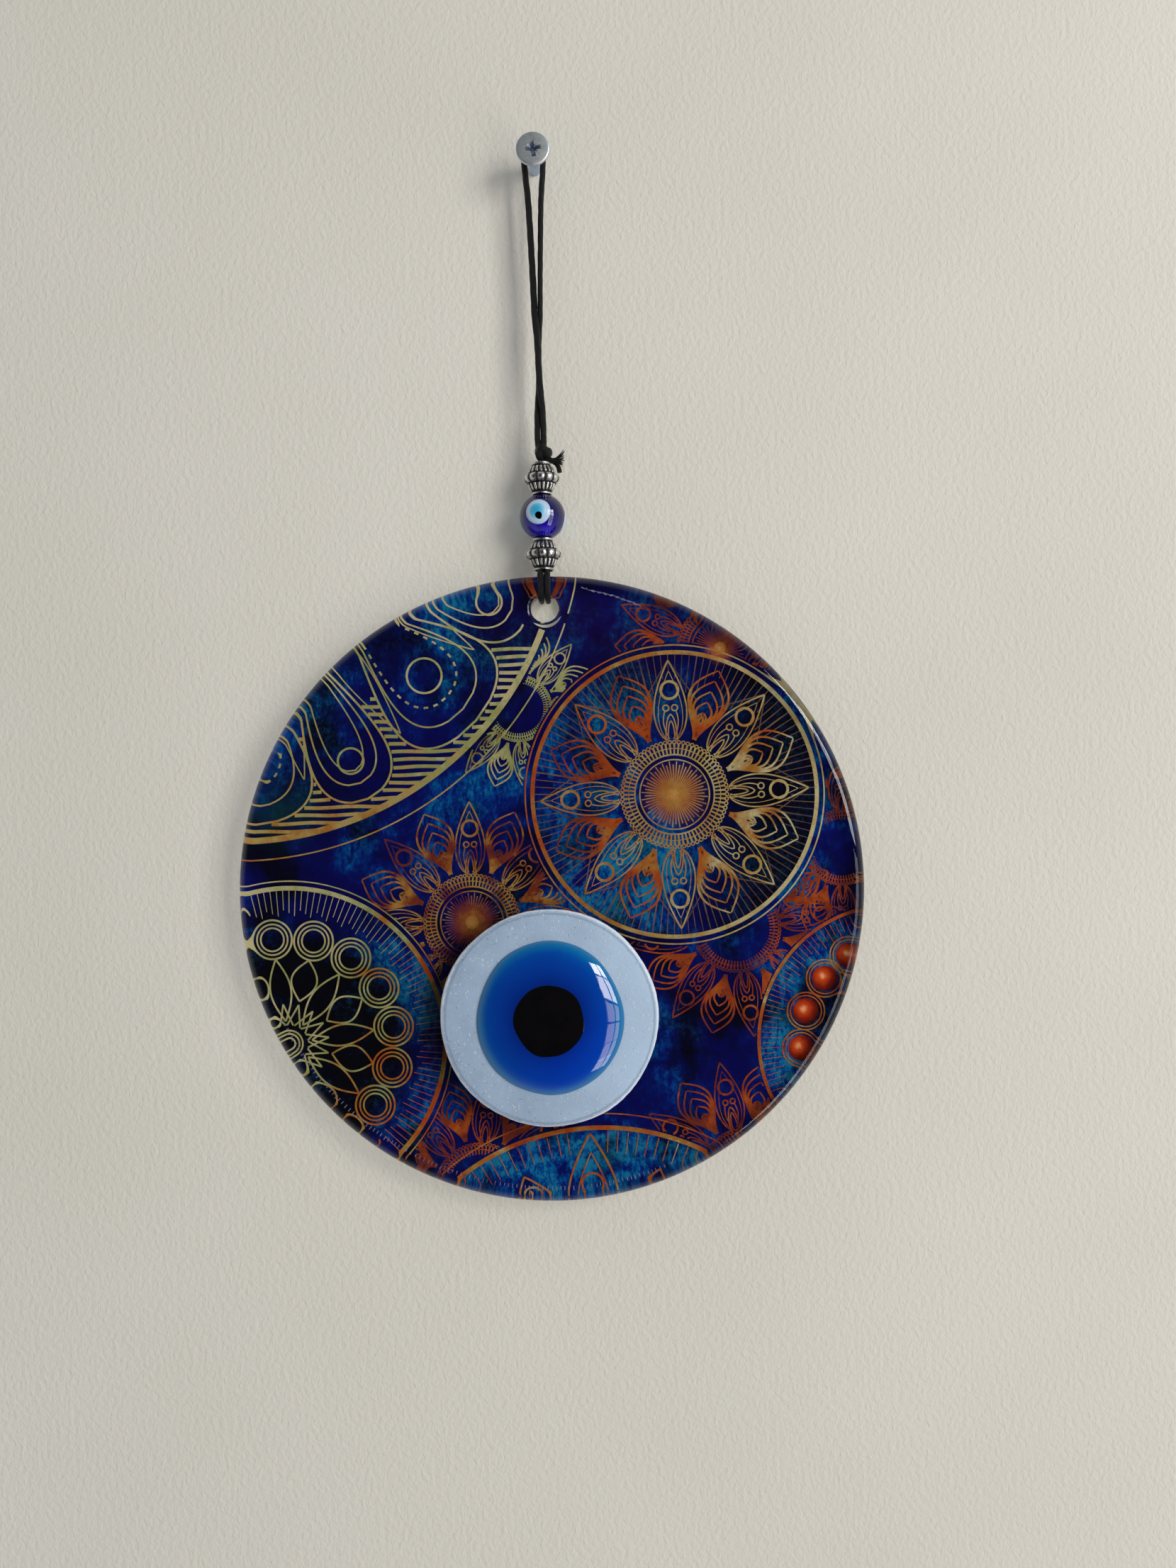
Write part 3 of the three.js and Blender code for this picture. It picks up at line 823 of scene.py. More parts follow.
def make_screw():
    low, high = node_box("wall_screw")
    head = (high.x - low.x) / 2
    outline = [(0.001, low.y), (head - 0.42, low.y), (head - 0.2, low.y + 0.05), (head - 0.06, low.y + 0.16),
               (head, low.y + 0.34), (head, low.y + 0.8), (head - 0.1, low.y + 0.92), (1.45, low.y + 3.42),
               (SHANK_RADIUS, low.y + 3.6), (SHANK_RADIUS, THREAD_START)]
    vertices = []
    for r, y in outline:
        vertices += [(r * math.cos(a), y, r * math.sin(a)) for a in turn_angles(SCREW_STEPS)]
    vertices += thread(THREAD_START, high.y)
    faces = capped_rings(len(vertices) // SCREW_STEPS, SCREW_STEPS)
    screw = new_mesh("screw_body", vertices, faces, zinc_material())
    cut_recess(screw, low.y)
    place(screw, "screw", ["wall_screw"])


def thread(start_y, tip_y):
    """Rings behind the shank whose crest winds round them as a real thread."""
    vertices = []
    steps = 220
    for i in range(1, steps + 1):
        share = i / steps
        y = start_y + (tip_y - start_y) * share
        taper = min(1.0, 3.4 * (1 - share))
        grow = min(1.0, 12 * share)
        for angle in turn_angles(SCREW_STEPS):
            phase = ((y - start_y) / THREAD_PITCH + angle / (2 * math.pi)) % 1.0
            crest = max(0.0, 1 - abs(phase - 0.5) * 5) * THREAD_DEPTH * grow
            radius = max(0.02, (SHANK_RADIUS + crest) * taper)
            vertices.append((radius * math.cos(angle), y, radius * math.sin(angle)))
    return vertices


def cut_recess(screw, front_y):
    """The cross recess, with its shallow diagonal ribs, cut into the head."""
    for turn, length, width, depth in RECESS_CUTS:
        angle = math.radians(turn)
        vertices = []
        for share, level in ((1.0, -0.6), (0.42, depth)):
            x, z = length / 2 * share, width / 2 * (1 - 0.25 * (share < 1))
            for dx, dz in ((-x, -z), (x, -z), (x, z), (-x, z)):
                vertices.append((
                    dx * math.cos(angle) - dz * math.sin(angle), front_y + level,
                    dx * math.sin(angle) + dz * math.cos(angle),
                ))
        faces = [(0, 1, 2, 3), (7, 6, 5, 4), (0, 4, 5, 1), (1, 5, 6, 2), (2, 6, 7, 3), (3, 7, 4, 0)]
        cutter = new_mesh("cutter", vertices, faces, smooth=False)
        cut = screw.modifiers.new("recess", "BOOLEAN")
        cut.operation = "DIFFERENCE"
        cut.solver = "EXACT"
        cut.object = cutter
        apply_modifiers(screw)
        bpy.data.objects.remove(cutter)
    sharpen(screw, 32)


def apply_modifiers(piece):
    evaluated = piece.evaluated_get(bpy.context.evaluated_depsgraph_get())
    mesh = bpy.data.meshes.new_from_object(evaluated)
    piece.modifiers.clear()
    piece.data = mesh


def sharpen(piece, degrees):
    """Smooth faces, with edges steeper than this left crisp."""
    piece.data.shade_smooth()
    piece.data.set_sharp_from_angle(angle=math.radians(degrees))


# ------------------------------------------------------------------ disc

DISC_STEPS = 240
HOLE_STEPS = 72
STEEP_BAND = 8              # the band of faces where the rim's rounding gets steep
HOLE_AT = (0.0, HOLE_Z - DISC_CENTRE.z)


def circle(radius, y, steps, centre=(0.0, 0.0)):
    """Points of a ring that faces the front, about a place given from the disc's centre."""
    x, z = DISC_CENTRE.x + centre[0], DISC_CENTRE.z + centre[1]
    return [Vector((x + radius * math.sin(a), y, z + radius * math.cos(a))) for a in turn_angles(steps)]


def flat_face(outer, hole, first_outer, first_hole):
    """Triangles between an outer ring and a hole in the same plane."""
    numbers = [first_outer + k for k in range(len(outer))] + [first_hole + k for k in range(len(hole))]
    return [tuple(numbers[i] for i in triangle) for triangle in tessellate_polygon([outer, hole])]


def glass_material(name, clear):
    """Refracting glass that lets the given share of the light through to what lies behind it."""
    shader = Shader(name)
    ripple = shader.noise(shader.place(), 0.05, 2.0)
    glass = shader.principled(
        Base_Color=(0.93, 0.97, 0.965, 1.0),
        Roughness=0.0,
        IOR=1.5,
        Transmission_Weight=1.0,
        Normal=shader.bump(ripple, 0.1),
    )
    shader.clear_where(shader.shadow_ray(), glass, clear)
    return shader.material


def glued_material():
    """Where glass and film are stuck together there is no surface to see."""
    shader = Shader("glass_glued_to_film")
    shader.surface(shader.node("BsdfTransparent"))
    return shader.material


def edge_arc(rounding, face_y, sign, steps):
    """Radius inwards from the edge, and y, from a face round to where the edge is upright."""
    arc = []
    for i in range(steps + 1):
        angle = math.pi / 2 * i / steps
        arc.append((rounding * (1 - math.sin(angle)), face_y + sign * rounding * (1 - math.cos(angle))))
    return arc


def rounded_edge(front_rounding, back_rounding, front_steps, back_steps=8):
    """How far the edge lies inside its widest ring, and y, from the front face to the back face."""
    front = edge_arc(front_rounding, DISC_FRONT, 1, front_steps)
    back = edge_arc(back_rounding, DISC_BACK, -1, back_steps)
    inset = 0.35
    return [
        (front_rounding + inset, DISC_FRONT), *front, *reversed(back), (back_rounding + inset, DISC_BACK),
    ]


def make_disc():
    rings = [
        circle(DISC_RADIUS - inwards, y, DISC_STEPS) for inwards, y in rounded_edge(FRONT_EDGE, BACK_EDGE, 14)
    ]
    hole_rings = [
        circle(HOLE_RADIUS + outwards, y, HOLE_STEPS, HOLE_AT)
        for outwards, y in rounded_edge(FRONT_LIP, BACK_LIP, 8)
    ]
    vertices = [v for ring in rings + hole_rings for v in ring]
    hole_start = len(rings) * DISC_STEPS
    faces = ring_faces(len(rings), DISC_STEPS)
    faces += [tuple(hole_start + i for i in f) for f in ring_faces(len(hole_rings), HOLE_STEPS)]
    faces += flat_face(rings[0], hole_rings[0], 0, hole_start)
    back_start = len(faces)
    faces += flat_face(
        rings[-1], hole_rings[-1], (len(rings) - 1) * DISC_STEPS,
        hole_start + (len(hole_rings) - 1) * HOLE_STEPS,
    )
    disc = new_mesh("disc_glass", vertices, faces, glass_material("clear_disc_glass", 0.84))
    paint_faces(disc, slice(back_start, None), glued_material())
    steep = slice(STEEP_BAND * DISC_STEPS, (len(rings) - 2) * DISC_STEPS)
    paint_faces(disc, steep, glass_material("disc_edge_glass", 0.2))
    place(disc, "disc", ["glass_disc"])


# ------------------------------------------------------------------ printed film

# Motifs of the print: their centres from the disc's centre and their radii, in mm.
LARGE_SUN = (30.1, 21.8)
SMALL_SUN = (-19.5, -7.8)
CORNER_ROSETTE = (-73.9, 91.9)
LEFT_MEDALLION = (-64.2, -35.9)
RIGHT_MEDALLION = (81.3, -38.6)
BOTTOM_MEDALLION = (9.5, -114.0)
LARGE_SUN_RADIUS = 34.3
ROSETTE_RADIUS = 79.4
LEFT_RADIUS = 37.5
RIGHT_RADIUS = 32.4
BOTTOM_RADIUS = 56.0
MOTIF_CIRCLES = [           # where a sun behind the motifs ends
    (LARGE_SUN, LARGE_SUN_RADIUS + 2.4), (LEFT_MEDALLION, LEFT_RADIUS + 2),
    (RIGHT_MEDALLION, RIGHT_RADIUS + 0.8), (BOTTOM_MEDALLION, BOTTOM_RADIUS + 1.0),
    (CORNER_ROSETTE, ROSETTE_RADIUS + 1.0),
]
JEWELS = [(71.0, -18.0), (65.2, -23.4), (60.4, -31.2), (59.0, -40.1)]
PART_SUN = (41.9, 56.9)
DARK_PATCHES = [((-40, 61), 8, 10), ((-58, 24), 9, 12), ((-12, 60), 9, 9), ((20, 52), 12, 12)]
GLOWS = [(LARGE_SUN, 2.4, 8.6), (SMALL_SUN, 1.6, 6.6), (PART_SUN, 1.2, 4.6)]      # core and halo
SUN_WARMTH = [(0.0, (110, 42, 16)), (0.4, (160, 76, 24)), (0.75, (184, 126, 54)), (1.0, (200, 166, 96))]
JEWEL_WARMTH = [(0.0, (40, 8, 10)), (0.4, (126, 28, 12)), (0.75, (196, 70, 26)), (1.0, (236, 176, 120))]


def film_material():
    """Mottled blues with glowing suns and jewels."""
    shader = Shader("printed_film")
    place_mm = shader.place()
    flat = shader.vector("MULTIPLY_ADD", place_mm, (1, 0, 1), (0, 0, -DISC_CENTRE.z))

    def away(centre, shift=0.0):
        return shader.vector("DISTANCE", flat, (centre[0] - shift, 0, centre[1] + shift))

    def near(centre, radius, softness):
        return shader.span(away(centre), radius + softness, radius - softness)

    both = shader.times
    brush = shader.noise(flat, 0.06, 9.0, 0.68, 0.4)
    grain = shader.noise(flat, 0.9, 5.0, 0.75, 0.3)
    strokes = shader.noise(shader.vector("MULTIPLY", flat, (1.6, 1, 0.7)), 0.45, 6.0, 0.7, 0.6)
    clouds = shader.noise(shader.vector("ADD", flat, (37.0, 0, 11.0)), 0.035, 4.0, 0.6)
    soot = shader.noise(shader.vector("ADD", flat, (-19.0, 0, 83.0)), 0.05, 7.0, 0.62)
    across, _, _ = shader.axes(flat)

    inside_sun = near(LARGE_SUN, LARGE_SUN_RADIUS, 0.3)
    sun_side = shader.span(across, 16.0, 44.0, 1.0, 0.0)
    tints = [
        both(inside_sun, both(sun_side, shader.math("ADD", 0.5, brush))),
        both(near(BOTTOM_MEDALLION, BOTTOM_RADIUS, 0.4), shader.math("ADD", 0.75, brush)),
        both(near(RIGHT_MEDALLION, RIGHT_RADIUS, 0.4), shader.math("ADD", 0.1, brush)),
        both(near(LEFT_MEDALLION, LEFT_RADIUS, 0.4),
             both(shader.span(across, -52.0, -34.0), shader.math("ADD", 0.1, brush))),
        both(near((-22.0, 70.0), 13.0, 9.0), brush),
        both(near((27.0, -45.0), 7.0, 11.0), shader.math("ADD", 0.2, brush)),
    ]
    blue = shader.times(shader.span(clouds, 0.42, 0.6), 0.8)
    for tint in tints:
        blue = shader.math("ADD", blue, both(tint, 0.8))
    blue = both(blue, shader.span(brush, 0.36, 0.6))
    blue = shader.scaled(shader.span(strokes, 0.32, 0.68, -0.8, 0.35), blue, blue)
    blue = shader.scaled(shader.span(grain, 0.3, 0.75, -0.5, 0.4), blue, blue, clamp=True)
    colour = shader.ramp(blue, [
        (0.0, (9, 9, 78)), (0.17, (6, 26, 102)), (0.38, (4, 56, 130)), (0.7, (6, 88, 146)),
        (1.0, (26, 114, 154)),
    ])

    dark = shader.math("MAXIMUM", both(inside_sun, both(shader.span(across, 24.0, 52.0), 0.9)),
                       both(near(LEFT_MEDALLION, 29.0, 6.0), shader.span(brush, 0.34, 0.66, 1.15, 0.85)))
    for centre, radius, softness in DARK_PATCHES:
        patch = both(near(centre, radius, softness), shader.span(grain, 0.2, 0.6, 0.95, 0.7))
        dark = shader.math("MAXIMUM", dark, patch)
    dark = shader.math("MAXIMUM", dark, shader.times(shader.span(soot, 0.46, 0.62), 0.85))
    dark = shader.times(dark, shader.span(grain, 0.25, 0.7, 1.25, 0.9), clamp=True)
    colour = shader.mix(dark, colour, (6, 6, 14))
    green = both(near((-65, 20), 5, 8), shader.span(brush, 0.3, 0.55))
    colour = shader.mix(green, colour, (12, 46, 38))
    purple = both(near((12, 62), 20, 20), shader.span(clouds, 0.35, 0.6))
    colour = shader.mix(both(purple, 0.5), colour, (26, 7, 74))

    for centre, core, halo in GLOWS:
        rough = shader.scaled(grain, 5.0, shader.math("SUBTRACT", away(centre), 2.5))
        warm = shader.ramp(shader.span(rough, halo, -1.0, smooth=False), SUN_WARMTH)
        colour = shader.mix(both(shader.span(rough, halo, core), 0.92), colour, warm)
    for centre in JEWELS:
        rough = shader.scaled(grain, 1.6, shader.math("SUBTRACT", away(centre, 0.6), 0.8))
        warm = shader.ramp(shader.span(rough, 4.0, 0.0, smooth=False), JEWEL_WARMTH)
        colour = shader.mix(near(centre, 3.1, 0.3), colour, warm)

    return shader.finished(Base_Color=colour, Roughness=0.8, Specular_IOR_Level=0.0)


def vinyl_material():
    """The plain pale back of the film, a little creased."""
    shader = Shader("film_backing")
    place_mm = shader.place()
    shade = shader.noise(place_mm, 0.12, 4.0)
    colour = shader.ramp(shade, [(0.3, (196, 194, 188)), (0.7, (218, 216, 211))])
    wrinkles = shader.noise(shader.vector("MULTIPLY", place_mm, (0.4, 1.0, 1.0)), 0.25, 4.0, 0.55)
    grain = shader.noise(place_mm, 4.0, 3.0, 0.6)
    return shader.finished(
        Base_Color=colour,
        Roughness=shader.span(grain, 0.3, 0.7, 0.36, 0.5),
        Normal=shader.bump(shader.scaled(grain, 0.04, wrinkles), 0.2),
    )


def make_film():
    rings = [circle(FILM_RADIUS, y, DISC_STEPS) for y in (FILM_FRONT, FILM_BACK)]
    holes = [circle(FILM_HOLE_RADIUS, y, HOLE_STEPS, HOLE_AT) for y in (FILM_FRONT, FILM_BACK)]
    vertices = [v for ring in rings + holes for v in ring]
    hole_start = 2 * DISC_STEPS
    faces = ring_faces(2, DISC_STEPS)
    faces += [tuple(hole_start + i for i in f) for f in ring_faces(2, HOLE_STEPS)]
    faces += flat_face(rings[0], holes[0], 0, hole_start)
    back_start = len(faces)
    faces += flat_face(rings[1], holes[1], DISC_STEPS, hole_start + HOLE_STEPS)
    film = new_mesh("film_sheet", vertices, faces, film_material(), smooth=False)
    paint_faces(film, slice(back_start, None), vinyl_material())
    place(film, "disc", ["print_film"])


# ------------------------------------------------------------------ printed lines

INK_THICKNESS = 0.008
INK_LAYERS = 13
STROKE_LEVELS = 11          # levels inside a layer, taken in turn by its strokes
EYE_AT = (EYE_CENTRE.x - DISC_CENTRE.x, EYE_CENTRE.z - DISC_CENTRE.z)


def away_from(centre, u, v):
    return math.hypot(u - centre[0], v - centre[1])


def on_film(u, v):
    """Inside the film, outside its hole, and not hidden behind the large eye."""
    return (
        u * u + v * v < (FILM_RADIUS - 0.2) ** 2
        and away_from(HOLE_AT, u, v) > FILM_HOLE_RADIUS + 0.5
        and away_from(EYE_AT, u, v) > WHITE_RADIUS - 1.6
    )


def between(start, end, share):
    """The place this share of the way from start to end."""
    return (start[0] + (end[0] - start[0]) * share, start[1] + (end[1] - start[1]) * share)


class Ink:
    """Lines of one motif, gathered as thin ribbons that lie on the film."""

    def __init__(self, name, layer, material, keep=None):
        self.name = name
        self.material = material
        self.keep = keep
        step = (FILM_FRONT - DISC_BACK) / (INK_LAYERS + 1)
        self.front = FILM_FRONT - (layer + 1) * step
        self.lift = step / (STROKE_LEVELS + 1)      # so that crossing strokes never share a face
        self.strokes = 0
        self.vertices = []
        self.faces = []

    def shown(self, u, v):
        return on_film(u, v) and (self.keep is None or self.keep(u, v))

    def edge_between(self, inside, outside):
        """The last shown point on the way from a shown point to a hidden one."""
        for _ in range(9):
            middle = between(inside, outside, 0.5)
            if self.shown(*middle):
                inside = middle
            else:
                outside = middle
        return inside

    def line(self, points, width):
        """A stroke through points; width is one number, or two for a tapered stroke."""
        shown = [self.shown(u, v) for u, v in points]
        widths = width if isinstance(width, tuple) else (width, width)
        last = len(points) - 1
        run = []
        for i, point in enumerate(points):
            if shown[i]:
                if i and not shown[i - 1]:
                    run.append((self.edge_between(point, points[i - 1]), i / last))
                run.append((point, i / last))
            elif run:
                run.append((self.edge_between(run[-1][0], point), i / last))
                self.ribbon(run, widths)
                run = []
        if run:
            self.ribbon(run, widths)

    def straight(self, start, end, width, step=1.2):
        count = max(1, round(math.dist(start, end) / step))
        self.line([between(start, end, i / count) for i in range(count + 1)], width)

    def dashes(self, points, dash, gap, width):
        """Strokes of equal length along a line."""
        stroke, room, drawing = [points[0]], dash, True
        for start, end in zip(points, points[1:]):
            left = math.dist(start, end)
            while left > room:
                start = between(start, end, room / left)
                left -= room
                if drawing:
                    self.line([*stroke, start], width)
                drawing = not drawing
                stroke, room = [start], dash if drawing else gap
            room -= left
            stroke.append(end)

    def ring(self, centre, radius, width, step=0.6):
        count = max(16, round(2 * math.pi * radius / step))
        self.line([Spoke(centre, 360 * i / count).at(radius) for i in range(count + 1)], width)

    def ribbon(self, run, widths):
        if len(run) < 2:
            return
        base = len(self.vertices)
        count = len(run)
        front = self.front - self.strokes % STROKE_LEVELS * self.lift
        self.strokes += 1
        for i, (point, share) in enumerate(run):
            before = run[max(i - 1, 0)][0]
            after = run[min(i + 1, count - 1)][0]
            du, dv = after[0] - before[0], after[1] - before[1]
            size = math.hypot(du, dv) or 1.0
            half = (widths[0] + (widths[1] - widths[0]) * share) / 2
            nu, nv = -dv / size * half, du / size * half
            for sign in (-1, 1):
                x = DISC_CENTRE.x + point[0] + sign * nu
                z = DISC_CENTRE.z + point[1] + sign * nv
                self.vertices.append((x, front, z))
                self.vertices.append((x, front + INK_THICKNESS, z))
        for i in range(count - 1):
            a, b = base + 4 * i, base + 4 * (i + 1)
            self.faces += [
                (a, b, b + 2, a + 2), (a + 1, a + 3, b + 3, b + 1),
                (a, a + 1, b + 1, b), (a + 2, b + 2, b + 3, a + 3),
            ]
        a, b = base, base + 4 * (count - 1)
        self.faces += [(a, a + 2, a + 3, a + 1), (b, b + 1, b + 3, b + 2)]

    def finish(self):
        piece = new_mesh(self.name, self.vertices, self.faces, self.material, smooth=False)
        place(piece, "disc")


class Spoke:
    """Turns distances out along a spoke of a motif, and sideways, into places on the film."""

    def __init__(self, centre, heading, scale=1.0):
        self.centre = centre
        self.out = (math.cos(math.radians(heading)), math.sin(math.radians(heading)))
        self.scale = scale

    def at(self, out, side=0.0):
        out, side = out * self.scale, side * self.scale
        return (
            self.centre[0] + self.out[0] * out - self.out[1] * side,
            self.centre[1] + self.out[1] * out + self.out[0] * side,
        )

    def shape(self, start, end, half_width, profile, steps=22):
        """A closed outline with the same profile on both sides of the spoke."""
        sides = []
        for sign in (1, -1):
            sides.append([
                self.at(start + (end - start) * i / steps, sign * half_width * profile(i / steps))
                for i in range(steps + 1)
            ])
        return sides[0] + sides[1][::-1]


def pointed(share):
    """A leaf that is broad below its middle and ends in a point."""
    return math.sin(math.pi * share ** 0.8) ** 0.9 * (1 - 0.12 * share) + 0.28 * (1 - share) ** 3


def spokes(centre, count, turn=0.0, scale=1.0):
    """Evenly spread spokes and their numbers."""
    return [(i, Spoke(centre, 360 * i / count + turn, scale)) for i in range(count)]


def arch(share):
    """Broad at the foot and round at the top."""
    return (1 - share ** 2.2) ** 0.6


def lens(share):
    return math.sin(math.pi * share)


def teardrop(share):
    """Narrow at the start, broad and round at the end."""
    return 1.61 * share * math.sqrt(max(0.0, 1 - share ** 4))


def ink_material(name, stops, tilt=(0.0, 0.0), middle=(0.0, 0.0), wear=0.5):
    """Worn printing ink; tilt turns its colour across the print, per mm from middle."""
    shader = Shader(name)
    place_mm = shader.place()
    flat = shader.vector("MULTIPLY_ADD", place_mm, (1, 0, 1), (-middle[0], 0, -DISC_CENTRE.z - middle[1]))
    patches = shader.noise(shader.vector("ADD", flat, (51.0, 0, 23.0)), 0.11, 6.0, 0.62)
    across, _, up = shader.axes(flat)
    slope = shader.scaled(across, tilt[0], shader.times(up, tilt[1]))
    tone = shader.math("ADD", shader.scaled(patches, 2.0, -0.5), slope, clamp=True)
    colour = shader.ramp(tone, stops)
    scuffs = shader.noise(flat, 0.8, 6.0, 0.75, 0.5)
    worn = shader.span(scuffs, 0.5, 0.7, 0.0, wear)
    return shader.finished(
        Base_Color=shader.mix(worn, colour, (16, 12, 44)),
        Roughness=0.8,
        Specular_IOR_Level=0.0,
    )


CREAM = (190, 177, 132)
PALE_GOLD = (174, 147, 88)
GOLD = (160, 110, 48)
ORANGE = (164, 72, 26)
RUST = (116, 46, 24)
PLUM = (70, 34, 52)
LEAF = (148, 150, 92)
# A pale lavender that paints the glint of light on creases and nicks in the film.
PAINTED_GLINT = (150, 146, 172)


def sun_petal(ink, spoke):
    """A pointed petal with an eyelet, a pair of curls and arches inside it."""
    ink.line(spoke.shape(13.1, 32.3, 3.9, pointed), 0.34)
    ink.line(spoke.shape(13.1, 29.8, 2.9, pointed), 0.16)
    ink.ring(spoke.at(25.2), 2.1 * spoke.scale, 0.62 * spoke.scale, step=0.4)
    for sign in (1, -1):
        ink.ring(spoke.at(20.9, sign * 1.05), 0.72 * spoke.scale, 0.34, step=0.25)
        ink.line([
            spoke.at(13.4 + 0.7 * i, sign * (0.5 + 1.3 * math.sin(0.08 * math.pi * i))) for i in range(11)
        ], 0.26)
    for top, half in ((19.4, 1.35), (17.8, 0.8)):
        ink.line(spoke.shape(13.4, top, half, arch, 12), 0.3)


def flame(share):
    """Narrow at the foot, broad past the middle, drawn out to a point."""
    return 7.53 * share ** 1.8 * (1 - share) ** 1.2


def sun_flame(ink, spoke):
    """A flame between two petals: outlines one inside the other, heavier at their feet."""
    steps = 20
    for k in range(5):
        start, end, half = 14.0 + 0.9 * k, 31.6 - 2.7 * k, 4.7 - 0.95 * k
        for sign in (1, -1):
            ink.line([
                spoke.at(start + (end - start) * i / steps, sign * (0.1 + half * flame(i / steps)))
                for i in range(steps + 1)
            ], (0.9 * spoke.scale, 0.32))
    ink.line(spoke.shape(15.2, 20.6, 0.5, lens, 8), 0.5)


def sun_motif(ink, centre, scale, turn, rays=True, flames=None):
    """Rays, rings of bars, eight petals and eight flames round a glowing middle."""
    if rays:
        for i, spoke in spokes(centre, 56, turn, scale):
            ink.straight(spoke.at(1.8), spoke.at(8.0 if i % 2 else 7.2), (0.1, 0.24 * scale))
        ink.ring(centre, 8.4 * scale, 0.3)
        ink.ring(centre, 9.6 * scale, 0.36)
    for _, spoke in spokes(centre, 72, turn + 2.5, scale):
        ink.straight(spoke.at(9.7), spoke.at(12.4), (0.34 * scale, 0.5 * scale))
        ink.ring(spoke.at(12.6), 0.42 * scale, 0.26, 0.4)
    ink.ring(centre, 11.1 * scale, 0.2)
    for i in range(8):
        sun_petal(ink, Spoke(centre, 45 * i + turn, scale))
        sun_flame(flames or ink, Spoke(centre, 45 * i + 22.5 + turn, scale))


def large_sun(material, flame_material, faint):
    ink = Ink("print_large_sun", 2, material)
    flames = Ink("print_large_sun_flames", 3, flame_material)
    turn = 1.5
    ink.ring(LARGE_SUN, LARGE_SUN_RADIUS, 1.0)
    ink.ring(LARGE_SUN, LARGE_SUN_RADIUS + 1.75, 0.34)
    sun_motif(ink, LARGE_SUN, 1.0, turn, flames=flames)
    ink.finish()
    flames.finish()
    ink = Ink("print_large_sun_rays", 1, faint)
    for i, spoke in spokes(LARGE_SUN, 120, turn):
        from_petal = abs((3 * i + 22.5) % 45 - 22.5)
        inner = 30.0 if from_petal < 3 or from_petal > 20 else 23.5 + abs(from_petal - 11.25) * 0.55
        ink.straight(spoke.at(inner), spoke.at(33.8), 0.2)
    for _, spoke in spokes(LARGE_SUN, 8, turn):
        for sign in (1, -1):
            ink.straight(spoke.at(32.6), spoke.at(22.5, sign * 6.4), 0.24)
            ink.straight(spoke.at(33.6, sign * 7.2), spoke.at(20.5, sign * 4.6), 0.24)
    ink.finish()


def clear_of(circles):
    """Tells whether a place is outside all of these circles of centre and radius."""
    return lambda u, v: all(away_from(centre, u, v) > radius for centre, radius in circles)


def small_sun(material):
    ink = Ink("print_small_sun", 2, material, clear_of(MOTIF_CIRCLES[:2]))
    sun_motif(ink, SMALL_SUN, 0.9, 0.0)
    ink.finish()


def scattered_suns(rust, leaf):
    """Parts of further suns that show between the large motifs."""
    for index, (centre, scale, turn, material) in enumerate((
        ((44.2, -10.8), 0.82, 8.0, rust),
        (PART_SUN, 0.8, 20.0, rust),
        ((-7.0, 43.5), 0.62, 4.0, leaf),
        ((45.0, -70.0), 0.85, 12.0, rust),
        ((-19.0, -72.0), 0.85, -6.0, rust),
        ((70.0, 8.0), 0.7, 0.0, rust),
    )):
        ink = Ink(f"print_part_sun_{index + 1}", 3 + index % 3, material, clear_of(MOTIF_CIRCLES))
        sun_motif(ink, centre, scale, turn, rays=index == 1)
        ink.finish()


ROSETTE_PETALS = [          # heading, tip distance and half width of each petal in view
    (-20.5, 74.5, 9.5), (-42.0, 76.2, 15.0), (-66.5, 75.5, 9.6), (-88.5, 75.0, 15.0),
]
ROSETTE_ROOT = 33.0
STRIPE_PITCH = 1.85


def in_petal(u, v, petal, grow):
    heading, tip, half_width = petal
    spoke = Spoke(CORNER_ROSETTE, heading)
    du, dv = u - CORNER_ROSETTE[0], v - CORNER_ROSETTE[1]
    out = du * spoke.out[0] + dv * spoke.out[1]
    side = -du * spoke.out[1] + dv * spoke.out[0]
    share = (out - ROSETTE_ROOT) / (tip + grow - ROSETTE_ROOT)
    return 0 < share < 1 and abs(side) < (half_width + grow) * teardrop(share)


